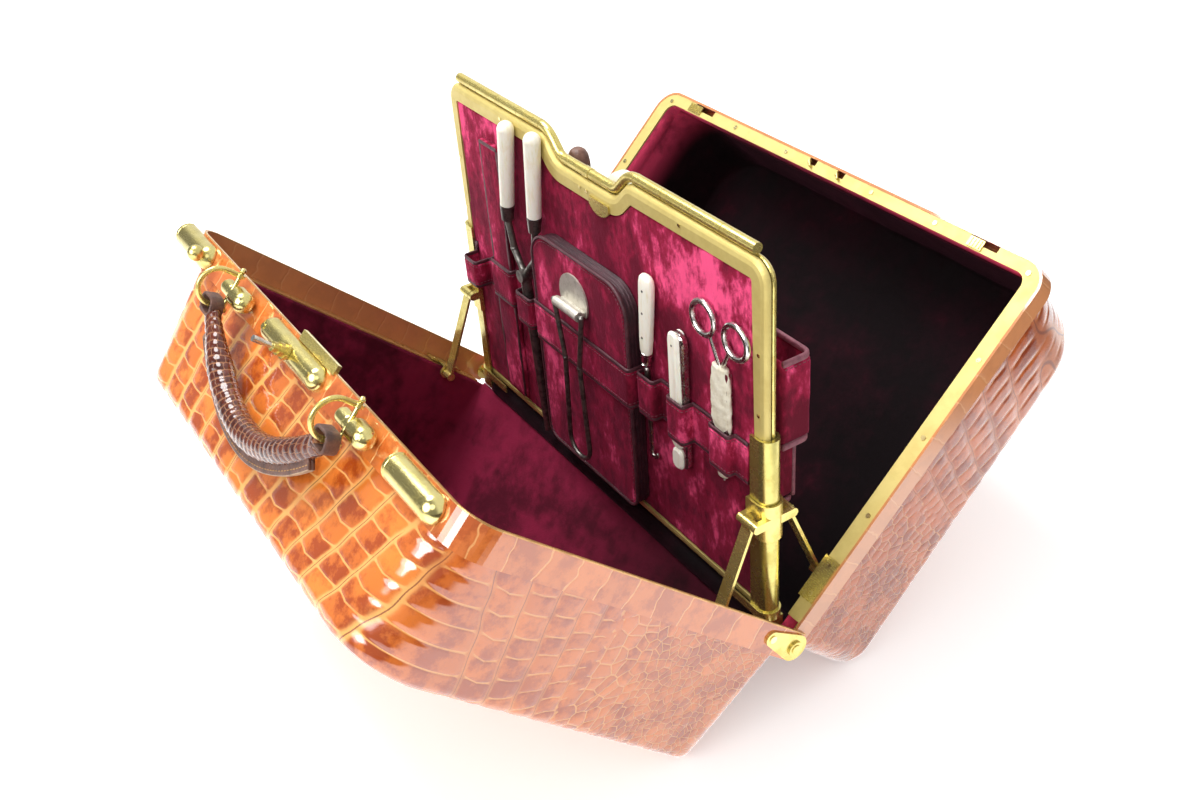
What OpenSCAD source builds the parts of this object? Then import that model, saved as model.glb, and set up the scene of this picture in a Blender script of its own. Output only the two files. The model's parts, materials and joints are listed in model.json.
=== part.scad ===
// Fitted vanity case, standing open: two leather trays on one hinge line, a lift-out
// double-leaf tool panel in two posts, and collars with links that keep the panel centred.
// The case is built in its closed position round the hinge line, then each tray is turned open.

/* [Trays] */
// Angle that each tray is turned from closed
open_angle = 46.7; // [30:0.1:55]
// Width over the front rim
rim_w = 402; // [390:1:440]
// Height from the hinge line to the top of the front rim
rim_h = 278; // [274:1:300]
// Corner radius of the front rim
rim_r = 20; // [12:1:30]
// Thickness of the leather-covered rim strip
rim_wall = 1.8; // [1.2:0.1:2.6]
// How far the front rim strip reaches past the hinge line
rim_lap = 9.5; // [7:0.5:11]
// How far the rim strips reach from the hinge line towards the base
rim_drop = 9.7; // [9.5:0.1:12]
// Gap between the front rim strip and the rear rim inside it
lap_gap = 0.5; // [0.3:0.1:1]
// Inward step from the rim strip to the leather body
body_step = 9; // [7:0.5:11]
// Step between the top of the rim strip and the top wall
top_step = 3; // [2.5:0.5:6]
// Extra narrowing of the body from rim to base, each side
body_taper = 6; // [2:0.5:10]
// Corner radius of the body at the rim
body_r = 28; // [18:1:40]
// Corner radius of the body at the base
base_r = 42; // [30:1:50]
// Depth of the tray at the hinge side
base_d = 102; // [85:1:115]
// Loss of tray depth from the hinge side to the top wall
base_slope = 11; // [4:1:16]
// Radius of the rolled edge round the base
edge_r = 8; // [6:0.5:16]
// How far the hinge-side wall bulges below the hinge line at the base
heel_drop = 7; // [3:0.5:9]
// Height of the hinge-side wall below the hinge line at the rim
rim_heel = 3; // [2:0.5:4]
// Thickness of the shells
shell_t = 2.8; // [2:0.1:4]
// Thickness of the velvet lining
lining_t = 1.6; // [1:0.1:2.5]
// Depth of the flats that the case stands on
foot_flat = 0.6; // [0.4:0.1:1]

/* [Rear frame] */
// Distance from the hinge line to the top of the brass ring
ring_rise = 3.4; // [2:0.1:4.5]
// Thickness of the brass ring
ring_t = 1.2; // [0.8:0.1:2]
// Width of the brass ring
ring_w = 10.8; // [9:0.2:11]
// Width of the brass ring along the top
ring_cap_w = 8.7; // [8:0.1:8.8]
// Height above the hinge line where the ring starts
ring_start = 14; // [12:1:20]
// Width of a catch notch
catch_notch_w = 24; // [16:1:28]
// Distance of a catch notch from the middle
catch_notch_x = 146; // [130:1:155]
// Width of a lock notch
lock_notch_w = 8; // [6:0.5:10]
// Depth of the notches in the ring
notch_d = 4.5; // [3:0.5:6]

/* [Hinge] */
// Radius of the hinge pin
pin_r = 2.5; // [2:0.1:3.5]
// Running clearance of turning parts
run_gap = 0.08; // [0.02:0.01:0.1]
// Radius of the round end of the hinge plate
plate_r = 9.3; // [8:0.1:10]
// Distance from the pin to the plate's fixing screw
plate_reach = 24; // [20:1:28]
// Thickness of the hinge plates
plate_t = 1.4; // [1:0.1:1.8]
// Radius of the rosette on the pin
rosette_r = 5.2; // [4:0.1:7]
// Radius of the velvet roll that closes the hinge line
roll_r = 7; // [6:0.1:7.1]

/* [Posts and links] */
// Distance of the post's round side centre from the outside of the front rim
post_in = 25; // [24.5:0.1:25.5]
// Outer radius of the post
post_r = 7; // [6.6:0.1:7.2]
// Height of the post's top above the hinge line
post_top = 145; // [135:1:155]
// Height of the post's foot above the hinge line
post_foot = 10; // [9:1:14]
// Wall of the collar
collar_wall = 1.5; // [1.2:0.1:1.7]
// Gap between collar and post
collar_gap = 0.3; // [0.2:0.05:0.4]
// Height of the collar
collar_h = 26; // [20:1:28]
// Height of the link pins above the hinge line when open
link_pin_z = 88; // [84:1:92]
// Distance of the link pins from the middle plane
link_pin_y = 13.4; // [13.1:0.1:15]
// Radius of the link pins
link_pin_r = 1.5; // [1.2:0.1:1.8]
// Outer radius of the link eyes
link_eye_r = 3.2; // [2.8:0.1:3.6]
// Width of a link
link_w = 9; // [7:0.5:9.5]
// Thickness of a link
link_t = 2; // [1.4:0.1:2.4]
// Height of the lower link pivot along the tray
ear_h = 45; // [42:1:48]
// Depth of the lower link pivot in the tray
ear_d = 11; // [10.5:0.1:13]

/* [Panel] */
// How far the panel's side edge lies past the centre of the post's round side
panel_past = 4; // [3.8:0.1:4.2]
// Height of the panel's top rail above the hinge line
panel_top = 257; // [250:0.5:258]
// Thickness of one leaf
leaf_t = 4.5; // [3.5:0.1:4.6]
// Gap between the two leaves
leaf_gap = 0.8; // [0.5:0.1:1.2]
// Width of the brass rails
rail_w = 12; // [9:0.5:14]
// Radius of the panel's top corners
panel_r = 14; // [8:1:20]
// Radius of the piano hinge barrel
barrel_r = 3.4; // [2.6:0.1:3.6]
// Half length of the piano hinge
barrel_hw = 167; // [150:1:170]
// Half width of the dip at the top rail
dip_hw = 54; // [48:1:60]
// Depth of the dip
dip_d = 14.7; // [10:0.1:18]
// Bend radius of the dip and the carry tube
dip_r = 14; // [11:1:16]
// Slope of the dip's sides
dip_slope = 45; // [35:1:50]

/* [Straps and pockets] */
// Height of the lower edge of the strap band
band_z = 106; // [98:1:112]
// Height of the strap band
band_h = 29; // [20:1:32]
// Thickness of velvet straps and pocket walls
strap_t = 1.6; // [1:0.1:2]
// Clearance between a strap and what it holds
strap_gap = 0.4; // [0.3:0.05:0.6]
// Depth of the large front pouch
pouch_d = 11; // [6:0.5:13]
// Depth of the rear pocket from the middle plane
pocket_y = 30; // [24:1:36]
// Height of the rear pocket's mouth
pocket_top = 190; // [180:1:200]
// Height of the rear pocket's bottom
pocket_foot = 78; // [70:1:90]

/* [Tools] */
// Width of the button hook's handle
hook_w = 14; // [10:0.5:16]
// Length of the closed pocket knife
knife_l = 100; // [90:1:106]
// Width of the closed pocket knife
knife_w = 14; // [11:0.5:16]
// Inner radius of the scissors' finger rings
finger_r = 8.5; // [7:0.5:9]
// Length of the wire loop
wire_l = 118; // [100:1:125]
// Width of the wire loop
wire_w = 22; // [18:1:26]
// Radius of the wire
wire_r = 1.7; // [1.4:0.1:2]

/* [Top hardware] */
// Distance of the handle rings from the middle
ring_x = 90; // [80:1:100]
// Height of a ring's bar above the rim
bar_rise = 11; // [10.5:0.5:13]
// Height of the handle's turning line above the rim
swing_rise = 21; // [20:0.5:23]
// Radius of a ring's arc, to the middle of its wire
bow_r = 12; // [11:0.5:13]
// Radius of the ring's wire
bow_wire_r = 1.7; // [1.4:0.1:1.8]
// Reach of the handle from its turning line
handle_reach = 54; // [46:1:60]
// Radius of the handle's grip
grip_r = 7; // [6:0.5:9.5]
// Angle of the resting handle from upright
handle_rest = 104; // [100:1:106]
// Radius of the catches
catch_r = 8.6; // [7:0.1:9]
// Length of the catches
catch_l = 51; // [44:1:54]
// Radius of the lock cover
lock_r = 8; // [7:0.1:9]
// Length of the lock cover
lock_l = 84; // [76:1:96]
// Height of the keyhole nozzle's top above the rim
nozzle_rise = 18; // [16:0.5:20]
// Length of key that stands out of the nozzle
key_out = 13; // [10:1:24]
// Radius of the key
key_r = 1.6; // [1.2:0.1:2]

/* [Hidden] */

// General values
eps = 0.02;
face_n = 48;
small_n = 24;
joint_step = 0.06;
joint_in = 0.3;
corner_n = 8;
edge_n = 4;
cloth_gap = 0.2;

// Tray sizes
rim_x = rim_w / 2;
body_x = rim_x - body_step;
body_top = rim_h - top_step;
heel_r = 6;
heel_base_r = 22;
strip_skin = 0.9;
strip_web = 0.5;
strip_foot = -4;
bead_t = 0.8;
ledge_t = 1.3;
ledge_d = rim_drop - ledge_t;
flange_t = 1.2;
lap_x = rim_x - rim_wall;
lap_top = rim_h - rim_wall;
rear_x = lap_x - lap_gap;
rear_top = lap_top - lap_gap;
rear_r = rim_r - rim_wall - lap_gap;
welt_w = 1.8;
welt_rise = 0.3;
ring_x0 = rear_x - welt_w - ring_w;
ring_top = rear_top - welt_w - ring_cap_w;
base_at_heel = base_d - edge_r + base_slope * (heel_drop - edge_r) / rim_h;
hinge_z = base_at_heel * sin(open_angle) - (edge_r - heel_drop) * cos(open_angle) + edge_r - foot_flat;

// Post, collar and link sizes
post_x = rim_x - post_in;
panel_hw = post_x + panel_past;
slot_r = leaf_t + leaf_gap / 2 + 0.4;
collar_in = post_r + collar_gap;
collar_out = collar_in + collar_wall;
collar_z = link_pin_z - collar_h / 2 - 1;
post_back = post_x - 8;
panel_rest = 0.3;
panel_foot = post_foot + panel_rest;
link_x0 = post_x - link_w / 2 - 0.5;
ear_t = 1.6;
ear_gap = 0.35;
ear_x = link_x0 + link_w + ear_gap;
plate_z0 = 28;
plate_z1 = 58;
screw_r = 1.7;
screw_rise = 0.2;

// Panel sizes
leaf_y = leaf_gap / 2;
face_y = leaf_y + leaf_t;
board_in = 0.5;
board_y = face_y - board_in;
edge_round = face_y;
dip_flat = dip_hw - 2 * dip_r * sin(dip_slope)
    - (dip_d - 2 * dip_r * (1 - cos(dip_slope))) / tan(dip_slope);
barrel_z = panel_top + barrel_r + 0.3;
tube_r = 3.3;
fit_x = panel_hw - 15;

// Tool places along the panel
loop_x = -155.5;
loop_half = 7.8;
sheath_x = -118;
tongs_x = -80;
tongs_z = 140;
pouch_x = -1;
pouch_hw = 57;
pouch_z0 = 12;
pouch_z1 = 190;
wire_x = -4;
wire_z = 155;
hook_x = 68;
hook_z = 70;
knife_x = 103;
knife_z = 83;
scissors_x = 143;
scissors_z = 98;
brush_x = 28;
case_x = -37;

// Places the closed case on the opened trays and on the ground
module centre() { translate([0, 0, hinge_z]) children(); }
module front() { centre() rotate([open_angle, 0, 0]) children(); }
module rear() { centre() rotate([-open_angle, 0, 0]) mirror([0, 1, 0]) children(); }
module ends() { children(); mirror([1, 0, 0]) children(); }
module along_x(x, l, r, n = face_n) {
    translate([x, 0, 0]) rotate([0, 90, 0]) cylinder(h = l, r = r, $fn = n);
}
module along_y(y, l, r, n = face_n) {
    translate([0, y, 0]) rotate([-90, 0, 0]) cylinder(h = l, r = r, $fn = n);
}

// Outline of a tray in the plane of the rim, as points from the right round to the left
function corner(cx, cz, r, a) =
    [for (i = [0 : corner_n]) [cx + r * cos(a + 90 * i / corner_n), cz + r * sin(a + 90 * i / corner_n)]];
function outline(w, z0, z1, r1, r0) = concat(
    corner(w - r1, z1 - r1, r1, 0), corner(r1 - w, z1 - r1, r1, 90),
    corner(r0 - w, z0 + r0, r0, 180), corner(w - r0, z0 + r0, r0, 270));
function flat_ring(pts, d) = [for (p = pts) [p[0], -d, p[1]]];
function base_depth(z, inset) = base_d - inset - base_slope * z / rim_h;
function base_ring(pts, drop, inset) = [for (p = pts) [p[0], drop - base_depth(p[1], inset), p[1]]];
function tray_rings(inset, start) = let (
    w0 = body_x - inset,
    w1 = body_x - body_taper - inset,
    top = body_top - inset,
    z0 = inset - rim_heel,
    z1 = inset - heel_drop,
    e = edge_r - inset)
    concat(
        [flat_ring(outline(w0, z0, top, body_r - inset, heel_r), start)],
        [for (k = [0 : edge_n]) let (a = 90 * k / edge_n, i = e * (1 - cos(a)))
            base_ring(outline(w1 - i, z1 + i, top - i, base_r - inset - i, heel_base_r - i),
                e * (1 - sin(a)), inset)]);

// Solid through a list of rings with as many points each
module loft(rings) {
    n = len(rings[0]);
    last = len(rings) - 1;
    sides = [for (k = [0 : last - 1]) for (i = [0 : n - 1])
        let (a = k * n + i, b = k * n + (i + 1) % n) each [[a, b, b + n], [a, b + n, a + n]]];
    caps = [[for (i = [n - 1 : -1 : 0]) i], [for (i = [0 : n - 1]) last * n + i]];
    polyhedron(points = [for (r = rings) each r], faces = concat(sides, caps), convexity = 6);
}
function turned_back(v) = [for (k = [len(v) - 1 : -1 : 0]) v[k]];
module tray_block(inset, start) { loft(turned_back(tray_rings(inset, start))); }

// Prism on the tray outline, from depth d0 to d1
module slab(w, z0, z1, r1, r0, d0, d1) {
    translate([0, -d0, 0]) rotate([90, 0, 0])
        linear_extrude(d1 - d0) polygon(outline(w, z0, z1, r1, r0));
}
module box(x0, x1, y0, y1, z0, z1) { translate([x0, y0, z0]) cube([x1 - x0, y1 - y0, z1 - z0]); }
// Open-ended band between two rim outlines, cut off below foot
module ring_band(w, top, r, w_in, top_in, r_in, d0, d1, foot) {
    below = 60;
    difference() {
        slab(w, -below, top, r, heel_r, d0, d1);
        slab(w_in, 1 - below, top_in, r_in, heel_r, d0 - 1, d1 + 1);
        box(-w - 1, w + 1, -d1 - 1, 1 - d0, -below - 1, foot);
    }
}
module band(w, top, r, t, d0, d1, foot) {
    ring_band(w, top, r, w - t, top - t, max(r - t, 2), d0, d1, foot);
}
module pin_hole(w) { along_x(-w - 1, 2 * w + 2, pin_r + run_gap); }
module ground_cut() {
    size = 900;
    translate([-size / 2, -size / 2, -size]) cube(size);
}
module tray_shell() {
    difference() {
        tray_block(0, rim_drop);
        tray_block(shell_t, rim_drop - 1);
    }
}
module tray_lining(start) {
    skin = shell_t + cloth_gap;
    difference() {
        tray_block(skin, start);
        tray_block(skin + lining_t, start - 1);
    }
}
in_x = body_x - shell_t;
in_top = body_top - shell_t;
in_r = body_r - shell_t;
lined_x = in_x - cloth_gap - lining_t;
lined_top = in_top - cloth_gap - lining_t;
lined_r = in_r - cloth_gap - lining_t;

// Front tray
module front_shell() {
    color("#b5571c") difference() {
        front() tray_shell();
        ground_cut();
    }
}
module front_rim() {
    inner = rim_wall - strip_skin - strip_web;
    turn = 0.5;
    color("#c0621f") front() difference() {
        union() {
            band(rim_x, rim_h, rim_r, strip_skin, -rim_lap, rim_drop, strip_foot);
            band(lap_x + inner, lap_top + inner, rim_r - rim_wall + inner, inner,
                -rim_lap, ledge_d, strip_foot);
            ring_band(rim_x, rim_h, rim_r, in_x, in_top, in_r, rim_drop - turn, rim_drop - eps, heel_r);
        }
        pin_hole(rim_x);
    }
}
module front_frame() {
    web_x = rim_x - strip_skin;
    web_top = rim_h - strip_skin;
    web_r = rim_r - strip_skin;
    under = rim_drop - 0.5 - eps;
    color("#d8c06a") front() difference() {
        union() {
            band(web_x, web_top, web_r, strip_web, -rim_lap, under, strip_foot);
            band(rim_x, rim_h, rim_r, rim_wall, -rim_lap - bead_t, -rim_lap, strip_foot);
            ring_band(web_x, web_top, web_r, in_x, in_top, in_r, ledge_d, under, heel_r);
        }
        pin_hole(rim_x);
    }
}
module front_lining() {
    start = ledge_d - flange_t;
    color("#6b1a34") front() union() {
        tray_lining(start);
        ring_band(lap_x - cloth_gap, lap_top - cloth_gap, rim_r - rim_wall - cloth_gap,
            lined_x, lined_top, lined_r, start, ledge_d - cloth_gap, heel_r);
    }
}
module plate_lobe(r0, r1, reach, t) {
    a = acos((r0 - r1) / reach);
    cylinder(h = t, r = r0, $fn = face_n);
    translate([reach, 0, 0]) cylinder(h = t, r = r1, $fn = face_n);
    linear_extrude(t) polygon([
        [r0 * cos(a), r0 * sin(a)], [r0 * cos(a), -r0 * sin(a)],
        [reach + r1 * cos(a), -r1 * sin(a)], [reach + r1 * cos(a), r1 * sin(a)]]);
}
module front_hinge_plates() {
    tip_r = 5;
    tip_d = 1;
    color("#e0b848") front() ends() translate([rim_x, 0, 0]) difference() {
        rotate([0, 90, 0]) rotate([0, 0, 180 - atan(tip_d / plate_reach)])
            plate_lobe(plate_r, tip_r, plate_reach, plate_t);
        along_x(-1, plate_t + 2, pin_r + run_gap);
    }
}
plate_x0 = lined_x + 0.2;
plate_x1 = plate_x0 + 10;
bracket_t = 1.4;
ear_r = 4.5;
module ear(d_from) {
    difference() {
        union() {
            along_x_at(ear_x, ear_t, ear_r);
            box(ear_x, ear_x + ear_t, -ear_d, -d_from, ear_h - ear_r, ear_h + ear_r);
        }
    }
}
module along_x_at(x, l, r) { translate([0, -ear_d, ear_h]) along_x(x, l, r); }
module front_link_brackets() {
    top = ledge_d - flange_t;
    color("#e0b848") front() ends() union() {
        box(plate_x0, plate_x1, -top, bracket_t - top, plate_z0, plate_z1);
        box(ear_x, plate_x0 + 1, -top, bracket_t - top, ear_h - ear_r, ear_h + ear_r);
        ear(top - bracket_t);
        along_x_at(ear_x + ear_t, 0.6, link_pin_r);
    }
}
module plate_screws(x, y) {
    inset = 5;
    for (z = [plate_z0 + inset, plate_z1 - inset]) translate([x, y, z]) rotate([-90, 0, 0])
        difference() {
            cylinder(h = screw_rise, r = screw_r, $fn = face_n);
            translate([-screw_r, -0.2, screw_rise / 2]) cube([2 * screw_r, 0.4, 1]);
        }
}
module front_screws() {
    top = ledge_d - flange_t;
    head_t = 0.7;
    color("#e8cc70") front() ends() union() {
        plate_screws((plate_x0 + plate_x1) / 2, bracket_t - top);
        translate([0, 1, plate_reach]) along_x(rim_x + plate_t, head_t, screw_r + 0.8);
    }
}

// Lathed piece along X from a list of half-profile points
module turned(pts) { rotate([0, 90, 0]) rotate_extrude($fn = face_n) polygon(pts); }
module capsule(x0, x1, r) {
    along_x(x0 + r, x1 - x0 - 2 * r, r);
    for (x = [x0 + r, x1 - r]) translate([x, 0, 0]) sphere(r = r, $fn = face_n);
}
module upper(x0, x1, r) { intersection() { children(); box(x0 - 1, x1 + 1, -r - 1, r + 1, 0, r + 1); } }
module on_rim() { front() translate([0, 0, rim_h]) children(); }
pin_out = 14;
boss_axis = 7.5;
cross_r = 1.5;
module handle_boss() {
    small_r = 5.2;
    large_r = 7;
    waist_r = 5;
    small_x = 17;
    large_x = 20;
    waist_x = 3;
    foot_w = 7;
    foot_x = 9;
    ball_r = 1.9;
    steps = 8;
    quarter = [for (i = [0 : steps]) 90 * i / steps];
    translate([0, 0, boss_axis]) turned(concat(
        [for (a = quarter) small_r * [sin(a), -cos(a)] + [0, small_r - small_x]],
        [[small_r, -waist_x - 1], [waist_r, -waist_x], [waist_r, waist_x], [large_r, waist_x + 1]],
        [for (a = quarter) large_r * [cos(a), sin(a)] + [0, large_x - large_r]]));
    translate([0, 0, bar_rise]) {
        along_y(-pin_out, 2 * pin_out, cross_r);
        for (s = [-1, 1]) translate([0, s * (pin_out + 1.4), 0]) sphere(r = ball_r, $fn = face_n);
    }
    box(-foot_x, foot_x, -foot_w / 2, foot_w / 2, 0, boss_axis);
}
module handle_bosses() {
    color("#e0b848") on_rim() for (x = [-ring_x, ring_x]) translate([x, 0, 0]) handle_boss();
}
module lock_cover() {
    wall = 1.4;
    x0 = lock_x - 3 - lock_l / 2;
    x1 = lock_x - 3 + lock_l / 2;
    rivet_in = 8;
    color("#e0b848") on_rim() union() {
        difference() {
            upper(x0, x1, lock_r) capsule(x0, x1, lock_r);
            upper(x0, x1, lock_r) capsule(x0 + wall, x1 - wall, lock_r - wall);
            translate([lock_x, 0, 0]) cylinder(h = lock_r + 1, r = nozzle_hole, $fn = face_n);
        }
        for (x = [x0 + rivet_in, x1 - rivet_in]) translate([x, 0, lock_r - wall])
            cylinder(h = wall + 0.6, r = 1.8, $fn = face_n);
    }
}
nozzle_hole = 3.2;
lock_x = -4;
module lock_nozzle() {
    low_r = 5.2;
    mid_r = 4.2;
    color("#d8ac3c") on_rim() translate([lock_x, 0, 0]) difference() {
        union() {
            translate([0, 0, 5]) cylinder(h = nozzle_rise - 5, r = nozzle_hole - 0.1, $fn = face_n);
            translate([0, 0, lock_r + 0.1]) cylinder(h = 2, r = low_r, $fn = face_n);
            translate([0, 0, lock_r + 2.1]) cylinder(h = 4, r = mid_r, $fn = face_n);
        }
        translate([0, 0, -1]) cylinder(h = nozzle_rise + 2, r = key_r + run_gap, $fn = face_n);
    }
}
module lock_plate() {
    past = 4.5;
    x0 = lock_x - 7;
    x1 = lock_x + 43;
    edge = rim_lap + bead_t;
    color("#e0b848") on_rim() union() {
        box(x0, x1, lock_r + 0.3, edge + past, eps, 1);
        box(x0, x1, edge + eps, edge + past, -1.6, 0.5);
    }
}
track_t = 0.8;
module catch_tracks() {
    w = 5;
    track_l = 34;
    outer_gap = 7;
    right_x = rim_x - rim_r - outer_gap;
    left_x = catch_l - rim_x - outer_gap;
    color("#c9a040") on_rim() union() {
        box(right_x - track_l, right_x, -w / 2, w / 2, eps, track_t);
        box(left_x - track_l, left_x, -w / 2, w / 2, eps, track_t);
    }
}
module catch_body(x0, x1) {
    wall = 1.4;
    gap = 0.3;
    bead_r = 1;
    translate([0, 0, gap]) difference() {
        union() {
            upper(x0, x1, catch_r) union() {
                along_x(x0, x1 - x0 - catch_r, catch_r);
                translate([x1 - catch_r, 0, 0]) sphere(r = catch_r, $fn = face_n);
            }
        }
        upper(x0 + wall, x1, catch_r) translate([0, 0, -eps]) union() {
            along_x(x0 + wall, x1 - x0 - catch_r - wall, catch_r - wall);
            translate([x1 - catch_r, 0, 0]) sphere(r = catch_r - wall, $fn = face_n);
        }
        translate([x0 + 2, 0, 0]) rotate([0, 90, 0]) rotate_extrude($fn = face_n)
            translate([catch_r + 0.3, 0]) circle(r = bead_r, $fn = small_n);
    }
}
module catch_left() {
    knob_r = 5.5;
    knob_in = 5;
    end = catch_l - rim_x - 2;
    color("#e0b848") on_rim() union() {
        catch_body(end - catch_l, end);
        translate([end - knob_in, 0, catch_r - 3]) cylinder(h = 4, r = 2.2, $fn = face_n);
        translate([end - knob_in, 0, catch_r + knob_r - 2.4]) sphere(r = knob_r, $fn = face_n);
    }
}
module catch_right() {
    end = rim_x - rim_r;
    color("#e0b848") on_rim() catch_body(end - catch_l, end);
}
module lock_bolt() {
    x0 = lock_x + 6;
    x1 = lock_x + 26.5;
    hw = 3.6;
    color("#c9a040") on_rim() difference() {
        box(x0, x1, -hw, hw, 1, 3.6);
        box(x0 + 6, x1 - 6, -hw / 2, hw / 2, 0, 5);
    }
}
module key() {
    bit_l = 3;
    color("#b9b4a6") on_rim() translate([lock_x, 0, 0]) union() {
        translate([0, 0, 1]) cylinder(h = nozzle_rise + key_out - 1, r = key_r, $fn = face_n);
        translate([0, 0, nozzle_rise + key_out - 6]) cylinder(h = 6, r = key_r + 0.4, $fn = face_n);
        box(0, key_r + bit_l - 1.8, -0.5, 0.5, 1, 1 + bit_l);
    }
}
module handle_ring() {
    eye_r = 3;
    eye_t = 2.4;
    rise = swing_rise - bar_rise;
    translate([0, 0, swing_rise]) rotate([90, 0, 90])
        rotate_extrude(angle = 180, $fn = face_n) translate([bow_r, 0])
            circle(r = bow_wire_r - joint_step, $fn = small_n);
    translate([0, 0, bar_rise]) for (s = [-1, 1]) difference() {
        union() {
            translate([0, s * bow_r, 0]) cylinder(h = rise + joint_in, r = bow_wire_r, $fn = small_n);
            along_y(s * bow_r - eye_t / 2, eye_t, eye_r);
        }
        along_y(-pin_out - 1, 2 * pin_out + 2, cross_r + run_gap);
    }
}
module handle_ring_left() { color("#e0b848") on_rim() translate([-ring_x, 0, 0]) handle_ring(); }
module handle_ring_right() { color("#e0b848") on_rim() translate([ring_x, 0, 0]) handle_ring(); }

// Handle in its own plane: x along the case, z outward from the turning line
module swung() { on_rim() translate([0, 0, swing_rise]) rotate([handle_rest, 0, 0]) children(); }
loop_x0 = bow_wire_r + 3.5;
loop_wall = 2.2;
loop_s0 = 8;
loop_s1 = 15.4;
loop_long = 7.4;
grip_x = ring_x - 10.1;
grip_s0 = loop_s1 - 2.05;
function grip_s(u) = grip_s0 + (handle_reach - grip_s0) * sin(180 * u) ^ 0.88;
function grip_c(u) = [grip_x * (1 - 2 * u), 0, grip_s(u)];
function grip_dir(u) = let (d = grip_c(min(u + 0.01, 1)) - grip_c(max(u - 0.01, 0))) d / norm(d);
grip_end_r = 5.6;
function grip_rad(u) = grip_end_r + (grip_r - grip_end_r) * min(1, 2.4 * sin(180 * u));
function grip_ring(u, n) = let (c = grip_c(u), t = grip_dir(u), q = [-t[2], 0, t[0]], r = grip_rad(u))
    [for (i = [0 : n - 1]) let (a = 360 * i / n) c + r * (cos(a) * q + sin(a) * [0, 1, 0])];
module handle_grip() {
    stations = 28;
    sides = 20;
    color("#b0561e") swung() loft([for (k = [0 : stations]) grip_ring(k / stations, sides)]);
}
function flange_ring(u, w, t) =
    let (c = grip_c(u), d = grip_dir(u), q = [d[2], 0, -d[0]], r = grip_rad(u) + 0.3)
    [c + r * q + [0, t, 0], c + (r + w) * q + [0, t, 0], c + (r + w) * q - [0, t, 0], c + r * q - [0, t, 0]];
module handle_flange() {
    stations = 24;
    inset = 0.035;
    w = 4.5;
    t = 2;
    color("#6f4a3c") swung() loft([for (k = [0 : stations])
        let (u = inset + (1 - 2 * inset) * k / stations) flange_ring(u, w, t)]);
}
module loop_prism(hw, s0, s1, r, l) {
    translate([0, l / 2, 0]) rotate([90, 0, 0]) linear_extrude(l) polygon(outline(hw, s0, s1, r, r));
}
module handle_loops() {
    hw = loop_x0 + loop_wall;
    color("#6f4a3c") swung() for (x = [-ring_x, ring_x]) translate([x, 0, 0]) difference() {
        loop_prism(hw, loop_s0 - loop_wall, loop_s1 + loop_wall, 4.6, loop_long);
        loop_prism(loop_x0, loop_s0, loop_s1, 2.4, loop_long + 2);
    }
}

// Rear tray
module rear_shell() {
    color("#b5571c") difference() {
        rear() tray_shell();
        ground_cut();
    }
}
module rear_rim() {
    color("#c0621f") rear() difference() {
        union() {
            band(rear_x, rear_top, rear_r, welt_w, -ring_rise - welt_rise, rim_drop - eps, strip_foot);
            ring_band(rear_x, rear_top, rear_r, in_x, in_top, in_r, rim_drop - 1, rim_drop - eps, heel_r);
        }
        pin_hole(rim_x);
    }
}
core_x = rear_x - welt_w;
core_top = rear_top - welt_w;
core_r = rear_r - welt_w;
ring_in_r = 8;
module ring_notch(x, w) {
    box(x - w / 2, x + w / 2, 0, 2 * ring_rise, core_top - notch_d, core_top + 1);
}
module rear_frame() {
    color("#e0b848") rear() difference() {
        ring_band(core_x - eps, core_top - eps, core_r, ring_x0, ring_top, ring_in_r,
            -ring_rise, ring_t - ring_rise, ring_start);
        for (x = [-catch_notch_x, catch_notch_x]) ring_notch(x, catch_notch_w);
        for (x = staple_x) ring_notch(x, lock_notch_w);
    }
}
staple_x = [-17, 12];
arm_x = core_x - 0.3;
arm_t = 1.6;
arm_top = 28;
module rear_lining() {
    low = rim_drop - 1.2;
    slit_x = arm_x - arm_t - cloth_gap;
    color("#6b1a34") rear() difference() {
        union() {
            tray_lining(low - 0.2);
            ring_band(core_x - cloth_gap, core_top - cloth_gap, core_r, ring_x0 + eps, ring_top - eps,
                ring_in_r, ring_t - ring_rise + eps, low, ring_start);
        }
        ends() box(slit_x, rim_x, -low - 1, ring_rise, 0, arm_top + cloth_gap);
    }
}
module rear_hinge_plates() {
    eye_r = 6.5;
    color("#e0b848") rear() ends() difference() {
        union() {
            along_x(arm_x - arm_t, arm_t, eye_r);
            box(arm_x - arm_t, arm_x, -7.5, ring_rise - ring_t - 0.1, 0, arm_top);
        }
        pin_hole(rim_x);
    }
}
module rear_link_brackets() {
    lug_x = ring_x0 - 1.5;
    tab_d = 6.5;
    color("#e0b848") rear() ends() union() {
        box(lug_x, plate_x1 - 1, ring_rise + eps, ring_rise + bracket_t, plate_z0, plate_z1);
        box(lug_x, ring_x0 - 0.1, -tab_d - bracket_t, ring_rise + bracket_t, ear_h - ear_r, ear_h + ear_r);
        box(ear_x, ring_x0 - 0.1, -tab_d - bracket_t, -tab_d, ear_h - ear_r, ear_h + ear_r);
        ear(tab_d);
        along_x_at(ear_x + ear_t, 0.6, link_pin_r);
    }
}
module rear_screws() {
    head_r = 1.7;
    head_rise = 0.5;
    mid = core_top - ring_cap_w / 2 + 0.5;
    side = core_x - ring_w / 2 + 1;
    places = [[side - 7, mid - 3], [105, mid], [45, mid], [side, 207], [side, 150], [side, 92]];
    color("#e8cc70") rear() union() {
        ends() plate_screws((ring_x0 + plate_x1) / 2, ring_rise + bracket_t);
        ends() for (p = places) translate([p[0], ring_rise + eps, p[1]]) rotate([-90, 0, 0])
            cylinder(h = head_rise, r = head_r, $fn = face_n);
    }
}
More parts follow.
